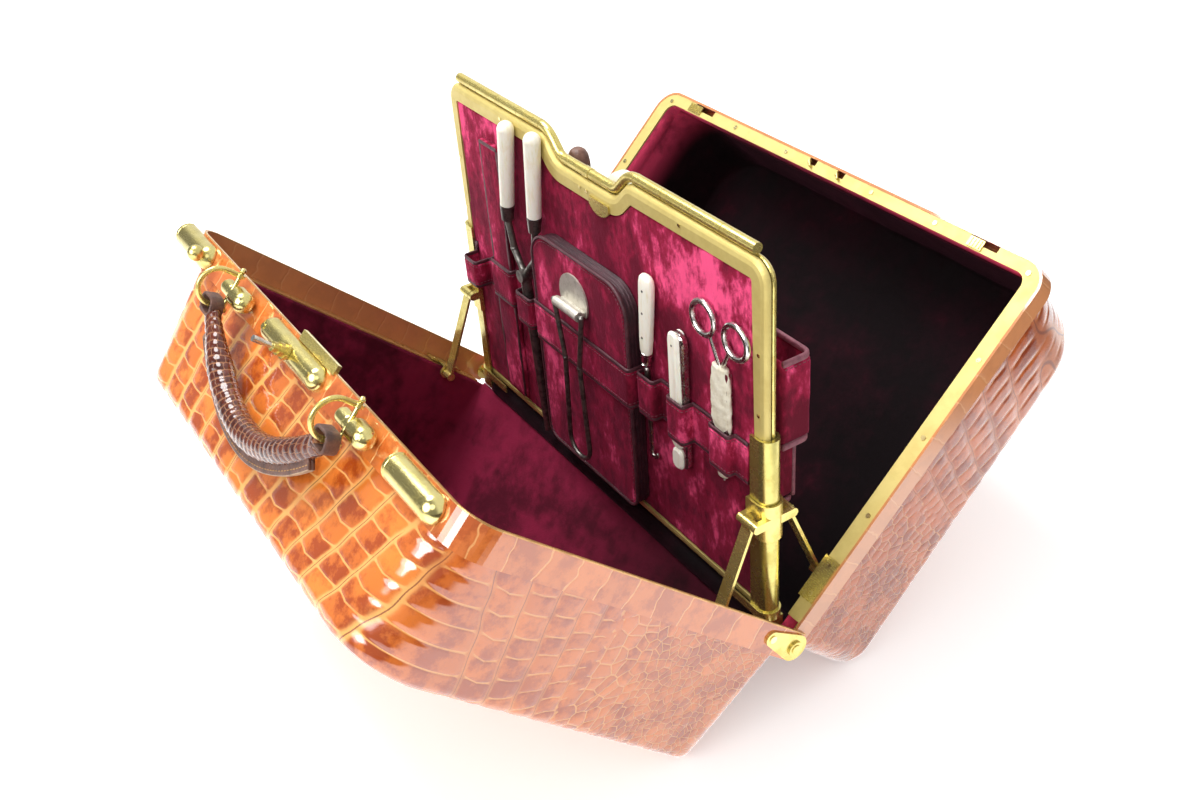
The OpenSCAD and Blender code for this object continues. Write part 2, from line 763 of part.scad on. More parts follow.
module strikes() {
    wire = 0.9;
    rise = 2.4;
    span = 4.5;
    z0 = core_top - ring_cap_w + 1;
    z1 = core_top - 1;
    plates = [[-163, -148], [135, 147]];
    color("#e0b848") rear() union() {
        for (p = plates) union() {
            box(p[0], p[1], ring_rise + eps, ring_rise + 1, z0, z1);
            for (x = [p[0] + 2 : 2.6 : p[1] - 2]) translate([x, ring_rise + 1 - eps, z0])
                box(-0.6, 0.6, 0, 0.5, 0.6, z1 - z0 - 0.6);
        }
        for (x = staple_x) translate([x, ring_rise + eps, core_top - ring_cap_w / 2]) rotate([0, 45, 0]) {
            for (k = [-1, 1]) translate([k * span / 2, 0, 0]) along_y(0, rise, wire, small_n);
            translate([0, rise, 0]) along_x(-span / 2, span, wire, small_n);
            for (k = [-1, 1]) translate([k * span / 2, rise, 0]) sphere(r = wire, $fn = small_n);
        }
    }
}

// Pieces on the hinge line
foot_x0 = post_x - 6;
foot_r0 = 6.8;
module hinge_pins() {
    head_t = 2;
    step = 0.6;
    color("#d9b24a") centre() ends() union() {
        along_x(foot_x0 + 2, rim_x + plate_t + 0.1 - foot_x0 - 2 + eps, pin_r);
        along_x(rim_x + plate_t + 0.1, head_t - step, rosette_r);
        along_x(rim_x + plate_t + 0.1 + head_t - step - eps, step + eps, rosette_r - 2);
    }
}
module hinge_roll() {
    spigot = 3;
    color("#6b1a34") centre() union() {
        along_x(1 - post_back, 2 * post_back - 2, roll_r);
        along_x(eps - foot_x0, 2 * foot_x0 - 2 * eps, spigot);
    }
}
module posts() {
    slot_x = panel_hw - edge_round + 0.1;
    color("#e0b848") centre() ends() difference() {
        union() {
            translate([post_x, 0, post_foot - eps])
                cylinder(h = post_top - post_foot + eps, r = post_r, $fn = face_n);
            box(post_back, post_x, -post_r, post_r, post_foot - eps, post_top);
            along_x(foot_x0, post_x + foot_r0 - foot_x0, foot_r0);
            box(foot_x0, post_x + foot_r0, -foot_r0, foot_r0, 0, post_foot);
        }
        translate([slot_x, 0, post_foot]) cylinder(h = post_top, r = slot_r, $fn = face_n);
        box(post_back - 1, slot_x, -slot_r, slot_r, post_foot, post_top + 1);
        along_x(foot_x0 - 1, 2 * post_r + 4, pin_r + run_gap);
    }
}
module base_stirrups() {
    t = 1.2;
    h = 6;
    in_r = post_r + 0.05;
    x0 = 142;
    color("#e8c458") centre() ends() translate([0, 0, post_foot]) difference() {
        union() {
            translate([post_x, 0, 0]) cylinder(h = h, r = in_r + t, $fn = face_n);
            box(x0, post_x, -in_r - t, in_r + t, 0, h);
        }
        translate([post_x, 0, -1]) cylinder(h = h + 2, r = in_r, $fn = face_n);
        box(x0 - 1, post_x, -in_r, in_r, -1, h + 1);
    }
}
module collar() {
    lip_x = post_back - collar_gap;
    knuckle_r = 3;
    x0 = link_x0 - ear_gap;
    x1 = link_x0 + link_w + ear_gap;
    centre() difference() {
        union() {
            difference() {
                union() {
                    translate([post_x, 0, collar_z]) cylinder(h = collar_h, r = collar_out, $fn = face_n);
                    box(lip_x - collar_wall, post_x, -collar_out, collar_out, collar_z, collar_z + collar_h);
                    for (s = [-1, 1]) for (x = [[x0 - 4, x0], [x1, x1 + 3.6]]) {
                        translate([0, s * link_pin_y, link_pin_z]) along_x(x[0], x[1] - x[0], knuckle_r);
                        box(x[0], x[1], min(0, s * link_pin_y), max(0, s * link_pin_y),
                            link_pin_z - knuckle_r, link_pin_z + knuckle_r);
                    }
                }
                translate([post_x, 0, 0]) cylinder(h = 2 * post_top, r = collar_in, $fn = face_n);
                box(lip_x, post_x, -collar_in, collar_in, 0, 2 * post_top);
                box(0, post_x, -slot_r, slot_r, 0, 2 * post_top);
            }
            for (s = [-1, 1]) translate([0, s * link_pin_y, link_pin_z])
                along_x(x0 - eps, x1 - x0 + 2 * eps, link_pin_r);
        }
    }
}
module collar_left() { color("#e8c458") mirror([1, 0, 0]) collar(); }
module collar_right() { color("#e8c458") collar(); }
low_y = ear_h * sin(open_angle) + ear_d * cos(open_angle);
low_z = ear_h * cos(open_angle) - ear_d * sin(open_angle);
link_len = norm([low_y - link_pin_y, link_pin_z - low_z]);
link_ang = atan2(low_y - link_pin_y, link_pin_z - low_z);
module link() {
    centre() translate([0, -link_pin_y, link_pin_z]) rotate([-link_ang, 0, 0]) difference() {
        union() {
            along_x(link_x0, link_w, link_eye_r);
            translate([0, 0, -link_len]) along_x(link_x0, link_w, link_eye_r);
            box(link_x0, link_x0 + link_w, -link_t / 2, link_t / 2, -link_len, 0);
        }
        along_x(link_x0 - 1, link_w + 2, link_pin_r + run_gap);
    }
}
module front_link_right() { color("#d9b24a") link(); }
module front_link_left() { color("#d9b24a") mirror([1, 0, 0]) link(); }
module rear_link_right() { color("#d9b24a") mirror([0, 1, 0]) link(); }
module rear_link_left() { color("#d9b24a") mirror([1, 0, 0]) mirror([0, 1, 0]) link(); }

// Panel outline with the dip, shrunk by inset, from the right foot round to the left foot
foot_r = 8;
function bend(cx, cz, r, a0, a1) =
    [for (i = [0 : corner_n]) let (a = a0 + (a1 - a0) * i / corner_n) [cx + r * cos(a), cz + r * sin(a)]];
function panel_half(i) = concat(
    bend(panel_hw - foot_r, panel_foot + foot_r, max(foot_r - i, 0.4), 270, 360),
    bend(panel_hw - panel_r, panel_top - panel_r, panel_r - i, 0, 90),
    bend(dip_hw, panel_top - dip_r, dip_r - i, 90, 90 + dip_slope),
    bend(dip_flat, panel_top - dip_d + dip_r, dip_r + i, 270 + dip_slope, 270));
function panel_outline(i) = let (h = panel_half(i), n = len(h))
    concat(h, [for (k = [n - 1 : -1 : 0]) [-h[k][0], h[k][1]]]);
function edge_inset(y) = edge_round - sqrt(edge_round ^ 2 - y ^ 2) + max(0, leaf_y + 0.8 - y);
module leaf_solid() {
    steps = 7;
    loft([for (k = [steps : -1 : 0]) let (y = leaf_y + leaf_t * k / steps)
        [for (p = panel_outline(edge_inset(y))) [p[0], -y, p[1]]]]);
}
module rail_hole(extra) {
    translate([0, 1, 0]) rotate([90, 0, 0]) linear_extrude(2 * face_y)
        polygon(panel_outline(rail_w + extra));
}
module leaf_frame() { difference() { leaf_solid(); rail_hole(0); } }
module front_leaf_frame() { color("#e0b848") centre() leaf_frame(); }
module rear_leaf_frame() { color("#e0b848") centre() mirror([0, 1, 0]) leaf_frame(); }
module board() {
    translate([0, -leaf_y - eps, 0]) rotate([90, 0, 0]) linear_extrude(leaf_t - board_in)
        polygon(panel_outline(rail_w + cloth_gap));
}
module front_board() { color("#8c1f3f") centre() board(); }
module rear_board() { color("#8c1f3f") centre() mirror([0, 1, 0]) board(); }
module leaf_knuckles() {
    pitch = 28;
    slit = 0.4;
    flap = 0.3;
    color("#e8c458") centre() translate([0, 0, barrel_z]) ends() difference() {
        union() {
            along_x(dip_hw + 0.1, barrel_hw - dip_hw - 0.1, barrel_r);
            box(dip_hw + 8, barrel_hw - 8, -flap, flap, -barrel_r - 8, 0);
        }
        for (x = [dip_hw + pitch : pitch : barrel_hw - 8]) difference() {
            along_x(x, slit, barrel_r + 1);
            along_x(x - 1, slit + 2, barrel_r - 0.4);
            box(x - 1, x + 2, -flap, flap, -2 * barrel_r, 0);
        }
    }
}
module tube_bend(r, a) {
    rotate([90, 0, 0]) rotate([0, 0, a]) rotate_extrude(angle = dip_slope, $fn = 2 * face_n)
        translate([r, 0]) circle(r = tube_r - joint_step, $fn = small_n);
}
module carry_tube() {
    off = barrel_z - panel_top;
    top_r = dip_r + off;
    low_bend = dip_r - off;
    slope_l = (dip_d - 2 * dip_r * (1 - cos(dip_slope))) / sin(dip_slope);
    collar_l = 7;
    color("#e8c458") centre() union() {
        ends() {
            translate([dip_hw, 0, panel_top - dip_r]) tube_bend(top_r, 90);
            translate([dip_hw - top_r * sin(dip_slope), 0, panel_top - dip_r + top_r * cos(dip_slope)])
                rotate([0, -90 - dip_slope, 0]) translate([0, 0, -joint_in])
                    cylinder(h = slope_l + 2 * joint_in, r = tube_r, $fn = small_n);
            translate([dip_flat, 0, panel_top - dip_d + dip_r]) tube_bend(low_bend, 270);
        }
        translate([0, 0, panel_top - dip_d + off]) {
            along_x(-dip_flat - joint_in, 2 * dip_flat + 2 * joint_in, tube_r, small_n);
            along_x(-collar_l / 2, collar_l, tube_r + 0.35, small_n);
        }
    }
}
module frame_rivets() {
    places = [[103, panel_top - 6], [4, panel_top - dip_d - 6], [panel_hw - 6, 200], [panel_hw - 6, 160]];
    color("#f0d890") centre() ends() for (p = places) for (s = [-1, 1])
        translate([p[0], s * (face_y + 0.2), p[1]]) rotate([s * -90, 0, 0])
            cylinder(h = 0.3, r = 1.2, $fn = small_n);
}
module leaf_clip() {
    hw = 11;
    x = 19;
    z = panel_top - dip_d - rail_w + 1;
    color("#d8ac3c") centre() intersection() {
        translate([x, 0, z + 9]) along_y(-face_y - 1.2, 1.1, 15);
        box(x - hw, x + hw, -face_y - 2, -face_y - eps, z - 6, z + 4);
    }
}

// Pieces carried by the front board
module on_board() { centre() translate([0, -board_y - cloth_gap, 0]) mirror([0, 1, 0]) children(); }
module arch_shape(hw, h, t) {
    deep = 20;
    inner_r = 1.2;
    r = min(hw, h, inner_r);
    difference() {
        polygon(outline(hw + t, -deep, h + t, r + t, 1));
        polygon(outline(hw, -deep - 1, h, r, 1));
        translate([-hw - t - 1, -deep - 2]) square([2 * (hw + t + 1), deep + 2]);
    }
}
module arch(x, hw, h, z0, z1) {
    translate([x, 0, z0]) linear_extrude(z1 - z0) arch_shape(hw, h, strap_t);
}
band_top = band_z + band_h;
sheath_hw = 13;
sheath_t = 5;
rod_r = 4;
hook_r = 3;
knife_t = 8;
blade_t = 4;
module front_straps() {
    gap = strap_gap;
    held = [[loop_x, loop_half, 12, -8], [sheath_x, sheath_hw + gap, sheath_t + gap, 0],
        [tongs_x + 1.6, 9, 2 * rod_r + 2 * gap + 1.6, -6], [pouch_x, pouch_hw + gap, pouch_d + gap, 0],
        [hook_x + 1.5, 7.6, 2 * hook_r + 3 * gap, 0], [knife_x, knife_w / 2 + gap, knife_t + gap, 0],
        [scissors_x, 8.5, blade_t + 3 * gap, 0]];
    ends_x = concat([-fit_x], [for (p = held) each [p[0] - p[1] - strap_t, p[0] + p[1] + strap_t]], [fit_x]);
    color("#8c1f3f") on_board() union() {
        for (p = held) arch(p[0], p[1], p[2], band_z, band_top + p[3]);
        for (k = [0 : len(held)]) if (ends_x[2 * k + 1] - ends_x[2 * k] > 0.5)
            box(ends_x[2 * k] - 0.3, ends_x[2 * k + 1] + 0.3, 0, strap_t, band_z, band_top);
    }
}
module pad(x0, x1, z0, z1, y0, y1, r) {
    translate([(x0 + x1) / 2, y1, 0]) rotate([90, 0, 0]) linear_extrude(y1 - y0)
        polygon(outline((x1 - x0) / 2, z0, z1, r, min(r, 10)));
}
module front_pouch() {
    wall = 2;
    color("#8c1f3f") on_board() difference() {
        pad(pouch_x - pouch_hw, pouch_x + pouch_hw, pouch_z0 + panel_foot, pouch_z1, 0, pouch_d, 20);
        pad(pouch_x - pouch_hw + wall, pouch_x + pouch_hw - wall, pouch_z0 + panel_foot + wall,
            pouch_z1 - wall, wall, pouch_d - wall, 18);
    }
}
module sheath() {
    wall = 1.1;
    back = 0.6;
    z0 = 26;
    z1 = 229;
    color("#5a2233") on_board() difference() {
        pad(sheath_x - sheath_hw, sheath_x + sheath_hw, z0, z1, back, sheath_t, 3);
        pad(sheath_x - sheath_hw + wall, sheath_x + sheath_hw - wall, z0 + wall, z1 + 20,
            back + wall, sheath_t - wall, 3);
    }
}
module rod(a, b, r, n = small_n) {
    d = b - a;
    translate(a) rotate([0, acos(d[2] / norm(d)), atan2(d[1], d[0])]) cylinder(h = norm(d), r = r, $fn = n);
}
module tapered(a, b, r0, r1, n = face_n) {
    d = b - a;
    translate(a) rotate([0, acos(d[2] / norm(d)), atan2(d[1], d[0])])
        cylinder(h = norm(d), r1 = r0, r2 = r1, $fn = n);
}
tongs_y = 6.2;
tongs_a0 = [-97, tongs_y, 181];
tongs_b0 = [-59, tongs_y, 186];
tongs_top_a = [-84, tongs_y, 256];
tongs_top_b = [-49, tongs_y, 259];
function along(a, b, t) = a + (b - a) * t;
module ivory_grip(a, b, r0, r1) {
    tapered(a, b, r0, r1);
    translate(b) sphere(r = r1 + joint_step, $fn = face_n);
}
module tongs_handles() {
    color("#efe3bd") on_board() union() {
        ivory_grip(along(tongs_a0, tongs_top_a, 0.16), along(tongs_a0, tongs_top_a, 0.93), 5, 5.8);
        ivory_grip(along(tongs_b0, tongs_top_b, 0.16), along(tongs_b0, tongs_top_b, 0.93), 5, 5.8);
    }
}
module tongs_irons() {
    arm_r = 2.4;
    elbow_a = [-92, tongs_y, 160];
    elbow_b = [-63, tongs_y, 162];
    pivot = [tongs_x, tongs_y, tongs_z + 4];
    foot = [tongs_x + 7, tongs_y - 1, panel_foot + 4];
    ferrule_r = 5.2;
    color("#5b5750") on_board() union() {
        for (p = [[tongs_a0, tongs_top_a, elbow_a], [tongs_b0, tongs_top_b, elbow_b]]) {
            tapered(p[0], along(p[0], p[1], 0.155), ferrule_r - 1, ferrule_r);
            rod(p[0] + [0, 0, 0.5], p[2], arm_r);
            translate(p[2]) sphere(r = arm_r + joint_in, $fn = small_n);
            rod(p[2], pivot, arm_r);
        }
        translate(pivot) along_y(-rod_r - 0.8, 2 * rod_r + 1.6, 4.6);
        tapered(foot, pivot, rod_r - 1.4, rod_r);
    }
}
module button_hook() {
    y = 4.4;
    grip_foot = hook_z + 80;
    lean = 5;
    color("#efe3bd") on_board() union() {
        translate([hook_x, y, grip_foot]) rotate([0, lean, 0]) union() {
            linear_extrude(54) scale([hook_w / 2, 1]) circle(r = 1, $fn = 4);
            translate([0, 3, 0]) pad(-hook_w / 2 + 2, hook_w / 2, 0, 58, -6, 0, 6);
        }
        rod([hook_x, y, grip_foot - 9], [hook_x, y, grip_foot + 2], 3.6, face_n);
        rod([hook_x, y, hook_z + 7], [hook_x, y, grip_foot - 8], 2.1);
        translate([hook_x + 3.4, y, hook_z + 7]) rotate([90, 0, 0]) rotate([0, 0, 180])
            rotate_extrude(angle = 180, $fn = face_n) translate([3.4, 0]) circle(r = 1.5, $fn = small_n);
    }
}
module knife() {
    color("#efe3bd") on_board() union() {
        pad(knife_x - knife_w / 2, knife_x + knife_w / 2 - 3, knife_z, knife_z + knife_l, 0.3, knife_t, 5);
        pad(knife_x - knife_w / 2 + 2, knife_x + knife_w / 2, knife_z + 1, knife_z + knife_l - 1,
            1.4, knife_t - 1.2, 5);
    }
}
module scissors() {
    y = blade_t / 2 + 0.8;
    left = [scissors_x - 16, y, scissors_z + 105];
    right = [scissors_x + 14, y, scissors_z + 103];
    join = [scissors_x, y, scissors_z + 80];
    tip = [scissors_x + 1, y, scissors_z];
    wire = 1.9;
    sides = 12;
    shank_r = 1.35;
    color("#d9d6cc") on_board() union() {
        for (p = [left, right]) {
            translate(p) rotate([90, 0, 0]) rotate_extrude($fn = face_n) translate([finger_r + wire, 0])
                polygon([for (k = [0 : sides - 1]) wire * [cos(360 * k / sides), sin(360 * k / sides)]]);
            rod(p + [(join[0] - p[0]) * 0.4, 0, -finger_r], join + [0, 0, -3], shank_r);
        }
        translate(join) rotate([0, 180, 0]) translate([0, -y, 0])
            pad(-7.5, 7.5, 0, 48, y - blade_t / 2, y + blade_t / 2, 4);
        tapered(tip, [tip[0], y, scissors_z + 36], 0.8, 1.9);
    }
}
module loop_plate() {
    y0 = pouch_d + 0.2;
    r = 17;
    t = 1.1;
    hub_y = y0 + strap_t + strap_gap + 4;
    color("#a9a294") on_board() difference() {
        union() {
            intersection() {
                translate([wire_x, 0, wire_z + 6]) along_y(y0, t, r);
                box(wire_x - r, wire_x + r, 0, hub_y, wire_z - 3, wire_z + 2 * r);
            }
            translate([0, hub_y, wire_z]) along_x(wire_x - 14.5, 29, 3.4);
            box(wire_x - 14, wire_x + 14, y0, hub_y, wire_z - 1.5, wire_z + 1.5);
        }
        translate([0, hub_y, wire_z]) along_x(wire_x - 20, 40, wire_r + run_gap);
    }
}
module wire_loop() {
    hub_y = pouch_d + 0.2 + strap_t + strap_gap + 4;
    out = 17;
    foot_x = wire_w / 2 * 1.15;
    foot = wire_z - wire_l + wire_w / 2;
    color("#6d675e") on_board() translate([0, hub_y, 0]) union() {
        along_x_z(wire_x - out, 2 * out, wire_z);
        for (s = [-1, 1]) {
            translate([wire_x + s * out, 0, wire_z]) sphere(r = wire_r + joint_in, $fn = small_n);
            rod([wire_x + s * 9, 0, wire_z - 42], [wire_x + s * out, 0, wire_z], wire_r);
            translate([wire_x + s * 9, 0, wire_z - 42]) sphere(r = wire_r + joint_in, $fn = small_n);
            rod([wire_x + s * foot_x, 0, foot - joint_in], [wire_x + s * 9, 0, wire_z - 42], wire_r);
        }
        translate([wire_x, 0, foot]) rotate([90, 0, 0]) rotate([0, 0, 180])
            rotate_extrude(angle = 180, $fn = face_n) translate([foot_x, 0])
                circle(r = wire_r - joint_step, $fn = small_n);
    }
}
module along_x_z(x, l, z) { translate([0, 0, z]) along_x(x, l, wire_r); }

// Pieces behind the rear board
module behind() { centre() translate([0, board_y + cloth_gap, 0]) children(); }
module rear_pocket() {
    wall = 2;
    deep = pocket_y - board_y - cloth_gap;
    low_x = 164.4;
    high_x = 178;
    high_z = 132;
    high_y = 5;
    r = 12;
    color("#6b1a34") behind() difference() {
        union() {
            pad(-low_x, low_x, pocket_foot, pocket_top, 0, deep, r);
            pad(-high_x, high_x, high_z, pocket_top, high_y, deep, 6);
        }
        pad(wall - low_x, low_x - wall, pocket_foot + wall, pocket_top + 2 * r, wall, deep - wall, r - wall);
        pad(wall - high_x, high_x - wall, high_z + wall, pocket_top + 2 * r, high_y + wall, deep - wall, 5);
    }
}
module brush() {
    hw = 38;
    hh = 58;
    z = 252 - hh;
    t = 9;
    y = 2.3;
    stem_hw = 8;
    color("#efe3bd") behind() translate([brush_x, y, z]) union() {
        intersection() {
            scale([hw, 1, hh]) along_y(0, t, 1, 2 * face_n);
            translate([0, t / 2, 0]) scale([1.02 * hw, t, 1.02 * hh]) sphere(r = 1, $fn = face_n);
        }
        pad(-stem_hw, stem_hw, pocket_foot + 2.3 - z, 8 - hh, 2, t - 2, 6);
    }
}
module stick_case() {
    r = 8;
    z1 = 246;
    z0 = pocket_foot + 2.3;
    color("#6a4226") behind() translate([case_x, r + 2.4, 0]) union() {
        translate([0, 0, z0]) cylinder(h = z1 - r - z0, r = r, $fn = face_n);
        translate([0, 0, z1 - r]) sphere(r = r, $fn = face_n);
    }
}

front_shell();
front_rim();
front_frame();
front_lining();
front_hinge_plates();
front_link_brackets();
front_screws();
handle_bosses();
lock_cover();
lock_nozzle();
lock_plate();
catch_tracks();
catch_left();
catch_right();
lock_bolt();
key();
handle_ring_left();
handle_ring_right();
handle_grip();
handle_flange();
handle_loops();
rear_shell();
rear_rim();
rear_frame();
rear_lining();
rear_hinge_plates();
rear_link_brackets();
rear_screws();
strikes();
hinge_pins();
hinge_roll();
posts();
base_stirrups();
collar_left();
collar_right();
front_link_left();
front_link_right();
rear_link_left();
rear_link_right();
front_leaf_frame();
rear_leaf_frame();
leaf_clip();
leaf_knuckles();
carry_tube();
frame_rivets();
front_board();
rear_board();
front_straps();
front_pouch();
sheath();
rear_pocket();
tongs_handles();
tongs_irons();
button_hook();
knife();
scissors();
loop_plate();
wire_loop();
brush();
stick_case();
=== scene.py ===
import json
from math import cos, hypot, pi, radians, sin

import bmesh
import bpy
from mathutils import Matrix, Vector, noise

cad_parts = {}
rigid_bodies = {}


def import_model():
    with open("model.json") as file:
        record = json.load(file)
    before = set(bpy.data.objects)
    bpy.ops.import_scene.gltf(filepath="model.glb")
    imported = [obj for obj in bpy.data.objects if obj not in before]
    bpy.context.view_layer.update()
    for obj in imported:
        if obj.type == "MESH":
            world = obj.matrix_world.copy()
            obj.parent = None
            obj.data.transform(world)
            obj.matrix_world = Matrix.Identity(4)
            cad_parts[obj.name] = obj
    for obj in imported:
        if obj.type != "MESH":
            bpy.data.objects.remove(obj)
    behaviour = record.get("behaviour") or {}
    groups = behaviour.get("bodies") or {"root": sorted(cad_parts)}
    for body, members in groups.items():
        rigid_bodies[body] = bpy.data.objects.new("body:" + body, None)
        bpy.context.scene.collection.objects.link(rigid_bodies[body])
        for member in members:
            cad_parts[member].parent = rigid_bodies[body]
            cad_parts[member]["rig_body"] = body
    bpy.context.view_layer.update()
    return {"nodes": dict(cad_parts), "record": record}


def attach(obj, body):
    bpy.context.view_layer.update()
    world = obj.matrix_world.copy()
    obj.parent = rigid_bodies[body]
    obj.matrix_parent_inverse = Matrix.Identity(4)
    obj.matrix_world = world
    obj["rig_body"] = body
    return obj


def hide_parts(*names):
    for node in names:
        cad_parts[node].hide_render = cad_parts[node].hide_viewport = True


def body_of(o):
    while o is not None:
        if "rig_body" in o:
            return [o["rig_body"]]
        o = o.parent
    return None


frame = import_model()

nodes = frame["nodes"]
MM = 0.001

# Sizes in millimetres that the drawn pieces share with the CAD. h is measured up a tray from the hinge line, d
# out from its rim plane.
HINGE_Z = 75.096
OPEN = radians(46.7)
CO, SO = cos(OPEN), sin(OPEN)
RIM_H, RIM_X, RIM_R = 278.0, 201.0, 20.0
BOARD_FACE = 4.6
HIDE_START = 9.7
UP, BACK = Vector((0, 0, 1)), Vector((0, 1, 0))


def front_at(x, h, d):
    return Vector((x, -h * SO - d * CO, HINGE_Z + h * CO - d * SO)) * MM


def rear_at(x, h, d):
    return Vector((x, h * SO + d * CO, HINGE_Z + h * CO - d * SO)) * MM


def board_at(x, y, z):
    return Vector((x, -BOARD_FACE - y, HINGE_Z + z)) * MM


def behind_at(x, y, z):
    return Vector((x, BOARD_FACE + y, HINGE_Z + z)) * MM


def linked(name, data):
    o = bpy.data.objects.new(name, data)
    bpy.context.scene.collection.objects.link(o)
    return o


def photo_camera():
    """The camera that was solved from the straight edges in the photo."""
    azimuth, elevation, roll = radians(59.95), radians(34.12), radians(-4.80)
    distance, target = 918.64 * MM, Vector((-9.30, 0, 70.71 + HINGE_Z)) * MM
    back = Vector((sin(azimuth) * cos(elevation), -cos(azimuth) * cos(elevation), sin(elevation)))
    right = (-back).cross(UP).normalized()
    up = right.cross(-back)
    right2 = right * cos(roll) + up * sin(roll)
    up2 = up * cos(roll) - right * sin(roll)
    data = bpy.data.cameras.new("photo_camera")
    focal, picture_width, data.sensor_width = 1318.17, 1200, 36
    data.lens = focal / picture_width * data.sensor_width
    data.clip_start = 0.02
    camera = linked("photo_camera", data)
    m = Matrix((right2, up2, back)).transposed().to_4x4()
    m.translation = target + back * distance
    camera.matrix_world = m
    bpy.context.scene.camera = camera


# Node trees
class Tree:
    """Short calls for building a material or geometry node tree."""

    def __init__(self, tree):
        self.tree = tree
        tree.nodes.clear()

    def add(self, kind, props=None, **inputs):
        """kind is a shader node's name without its first part, or the whole name of another node."""
        node = self.tree.nodes.new(kind if "Node" in kind else "ShaderNode" + kind)
        for k, v in (props or {}).items():
            setattr(node, k, v)
        return self.give(node, **inputs)

    def give(self, node, **inputs):
        for k, v in inputs.items():
            self.put(node, k.replace("_", " "), v)
        return node

    def put(self, node, key, value):
        """key is a socket's name, or i and its number."""
        socket = node.inputs[int(key[1:])] if key[0] == "i" and key[1:].isdigit() else node.inputs[key]
        if isinstance(value, bpy.types.NodeSocket):
            self.tree.links.new(value, socket)
        else:
            socket.default_value = value

    def axis(self, vector, i):
        return self.add("SeparateXYZ", Vector=vector).outputs[i]

    def math(self, op, a, b=0.0, c=None, clamp=False):
        node = self.add("Math", {"operation": op, "use_clamp": clamp}, i0=a, i1=b)
        if c is not None:
            self.put(node, "i2", c)
        return node.outputs[0]

    def times(self, a, b, clamp=False):
        return self.math("MULTIPLY", a, b, clamp=clamp)

    def plus(self, a, b, clamp=False):
        return self.math("ADD", a, b, clamp=clamp)

    def minus(self, a, b):
        return self.math("SUBTRACT", a, b)

    def vmath(self, op, a, b):
        return self.add("VectorMath", {"operation": op}, i0=a, i1=b).outputs[0]

    def scaled(self, vector, x, y, z):
        return self.vmath("MULTIPLY", vector, (x, y, z))

    def span(self, value, lo, hi, a=0.0, b=1.0):
        """Goes smoothly from a to b while value goes from lo to hi."""
        smooth = {"interpolation_type": "SMOOTHSTEP"}
        return self.add("MapRange", smooth, i0=value, i1=lo, i2=hi, i3=a, i4=b).outputs[0]

    def mix(self, factor, a, b):
        a, b = (v if isinstance(v, bpy.types.NodeSocket) else (*v, 1) for v in (a, b))
        return self.add("Mix", {"data_type": "RGBA"}, i0=factor, i6=a, i7=b).outputs[2]

    def noise(self, vector, scale, detail=3.0, rough=0.55):
        node = self.add("TexNoise", Scale=scale, Detail=detail, Roughness=rough)
        if vector is not None:
            self.put(node, "Vector", vector)
        return node.outputs[0]


def material(name):
    m = bpy.data.materials.new(name)
    m.use_nodes = True
    t = Tree(m.node_tree)
    out = t.add("OutputMaterial")
    bsdf = t.add("BsdfPrincipled")
    t.tree.links.new(bsdf.outputs[0], out.inputs[0])
    return m, t, bsdf


def bump(t, bsdf, height, strength, distance):
    node = t.add("Bump", Strength=strength, Distance=distance, Height=height)
    t.tree.links.new(node.outputs[0], bsdf.inputs["Normal"])


def place(t):
    """Object space in millimetres, which stays with the piece at every pose."""
    return t.scaled(t.add("TexCoord").outputs["Object"], 1000, 1000, 1000)


def tray_place(t, side):
    """Millimetres in the closed tray: x, depth out from the rim plane, height above the hinge."""
    moved = t.vmath("ADD", place(t), (0, 0, -HINGE_Z))
    turn = t.add("VectorRotate", {"rotation_type": "X_AXIS"}, Vector=moved, Angle=-side * OPEN)
    return turn.outputs[0]


def hide_cells(t, coords, randomness):
    """Distance to the nearest groove, a colour for each scale, and distance to the line between two columns.
    Low randomness gives straight columns of wide scales whose cross grooves are set off from the next
    column's, and high randomness gives small round ones."""
    parts = t.add("SeparateXYZ", Vector=coords)
    column = t.math("FLOOR", parts.outputs[0])
    jump = t.add("TexWhiteNoise", {"noise_dimensions": "1D"}, W=column).outputs[0]
    eu = t.math("PINGPONG", parts.outputs[0], 0.5)
    bow = t.times(t.minus(jump, 0.5), t.times(eu, 0.7))
    v = t.plus(t.math("MULTIPLY_ADD", jump, 7.3, parts.outputs[1]), bow)
    ev = t.math("PINGPONG", v, 0.5)
    brick = t.math("SMOOTH_MIN", t.times(eu, 0.62), t.times(ev, 1.2), 0.2)
    label = t.add("CombineXYZ", X=column, Y=t.math("FLOOR", v)).outputs[0]
    tint = t.add("TexWhiteNoise", {"noise_dimensions": "2D"}, Vector=label).outputs["Color"]
    near = t.add("TexVoronoi", {"voronoi_dimensions": "2D", "feature": "DISTANCE_TO_EDGE"},
        Vector=coords, Scale=1.0, Randomness=randomness)
    cell = t.add("TexVoronoi", {"voronoi_dimensions": "2D"}, Vector=coords, Scale=1.0,
        Randomness=randomness)
    small = t.span(randomness, 0.35, 0.62)
    edge = t.math("MULTIPLY_ADD", small, t.minus(near.outputs["Distance"], brick), brick)
    return edge, t.mix(small, tint, cell.outputs["Color"]), t.plus(eu, small)


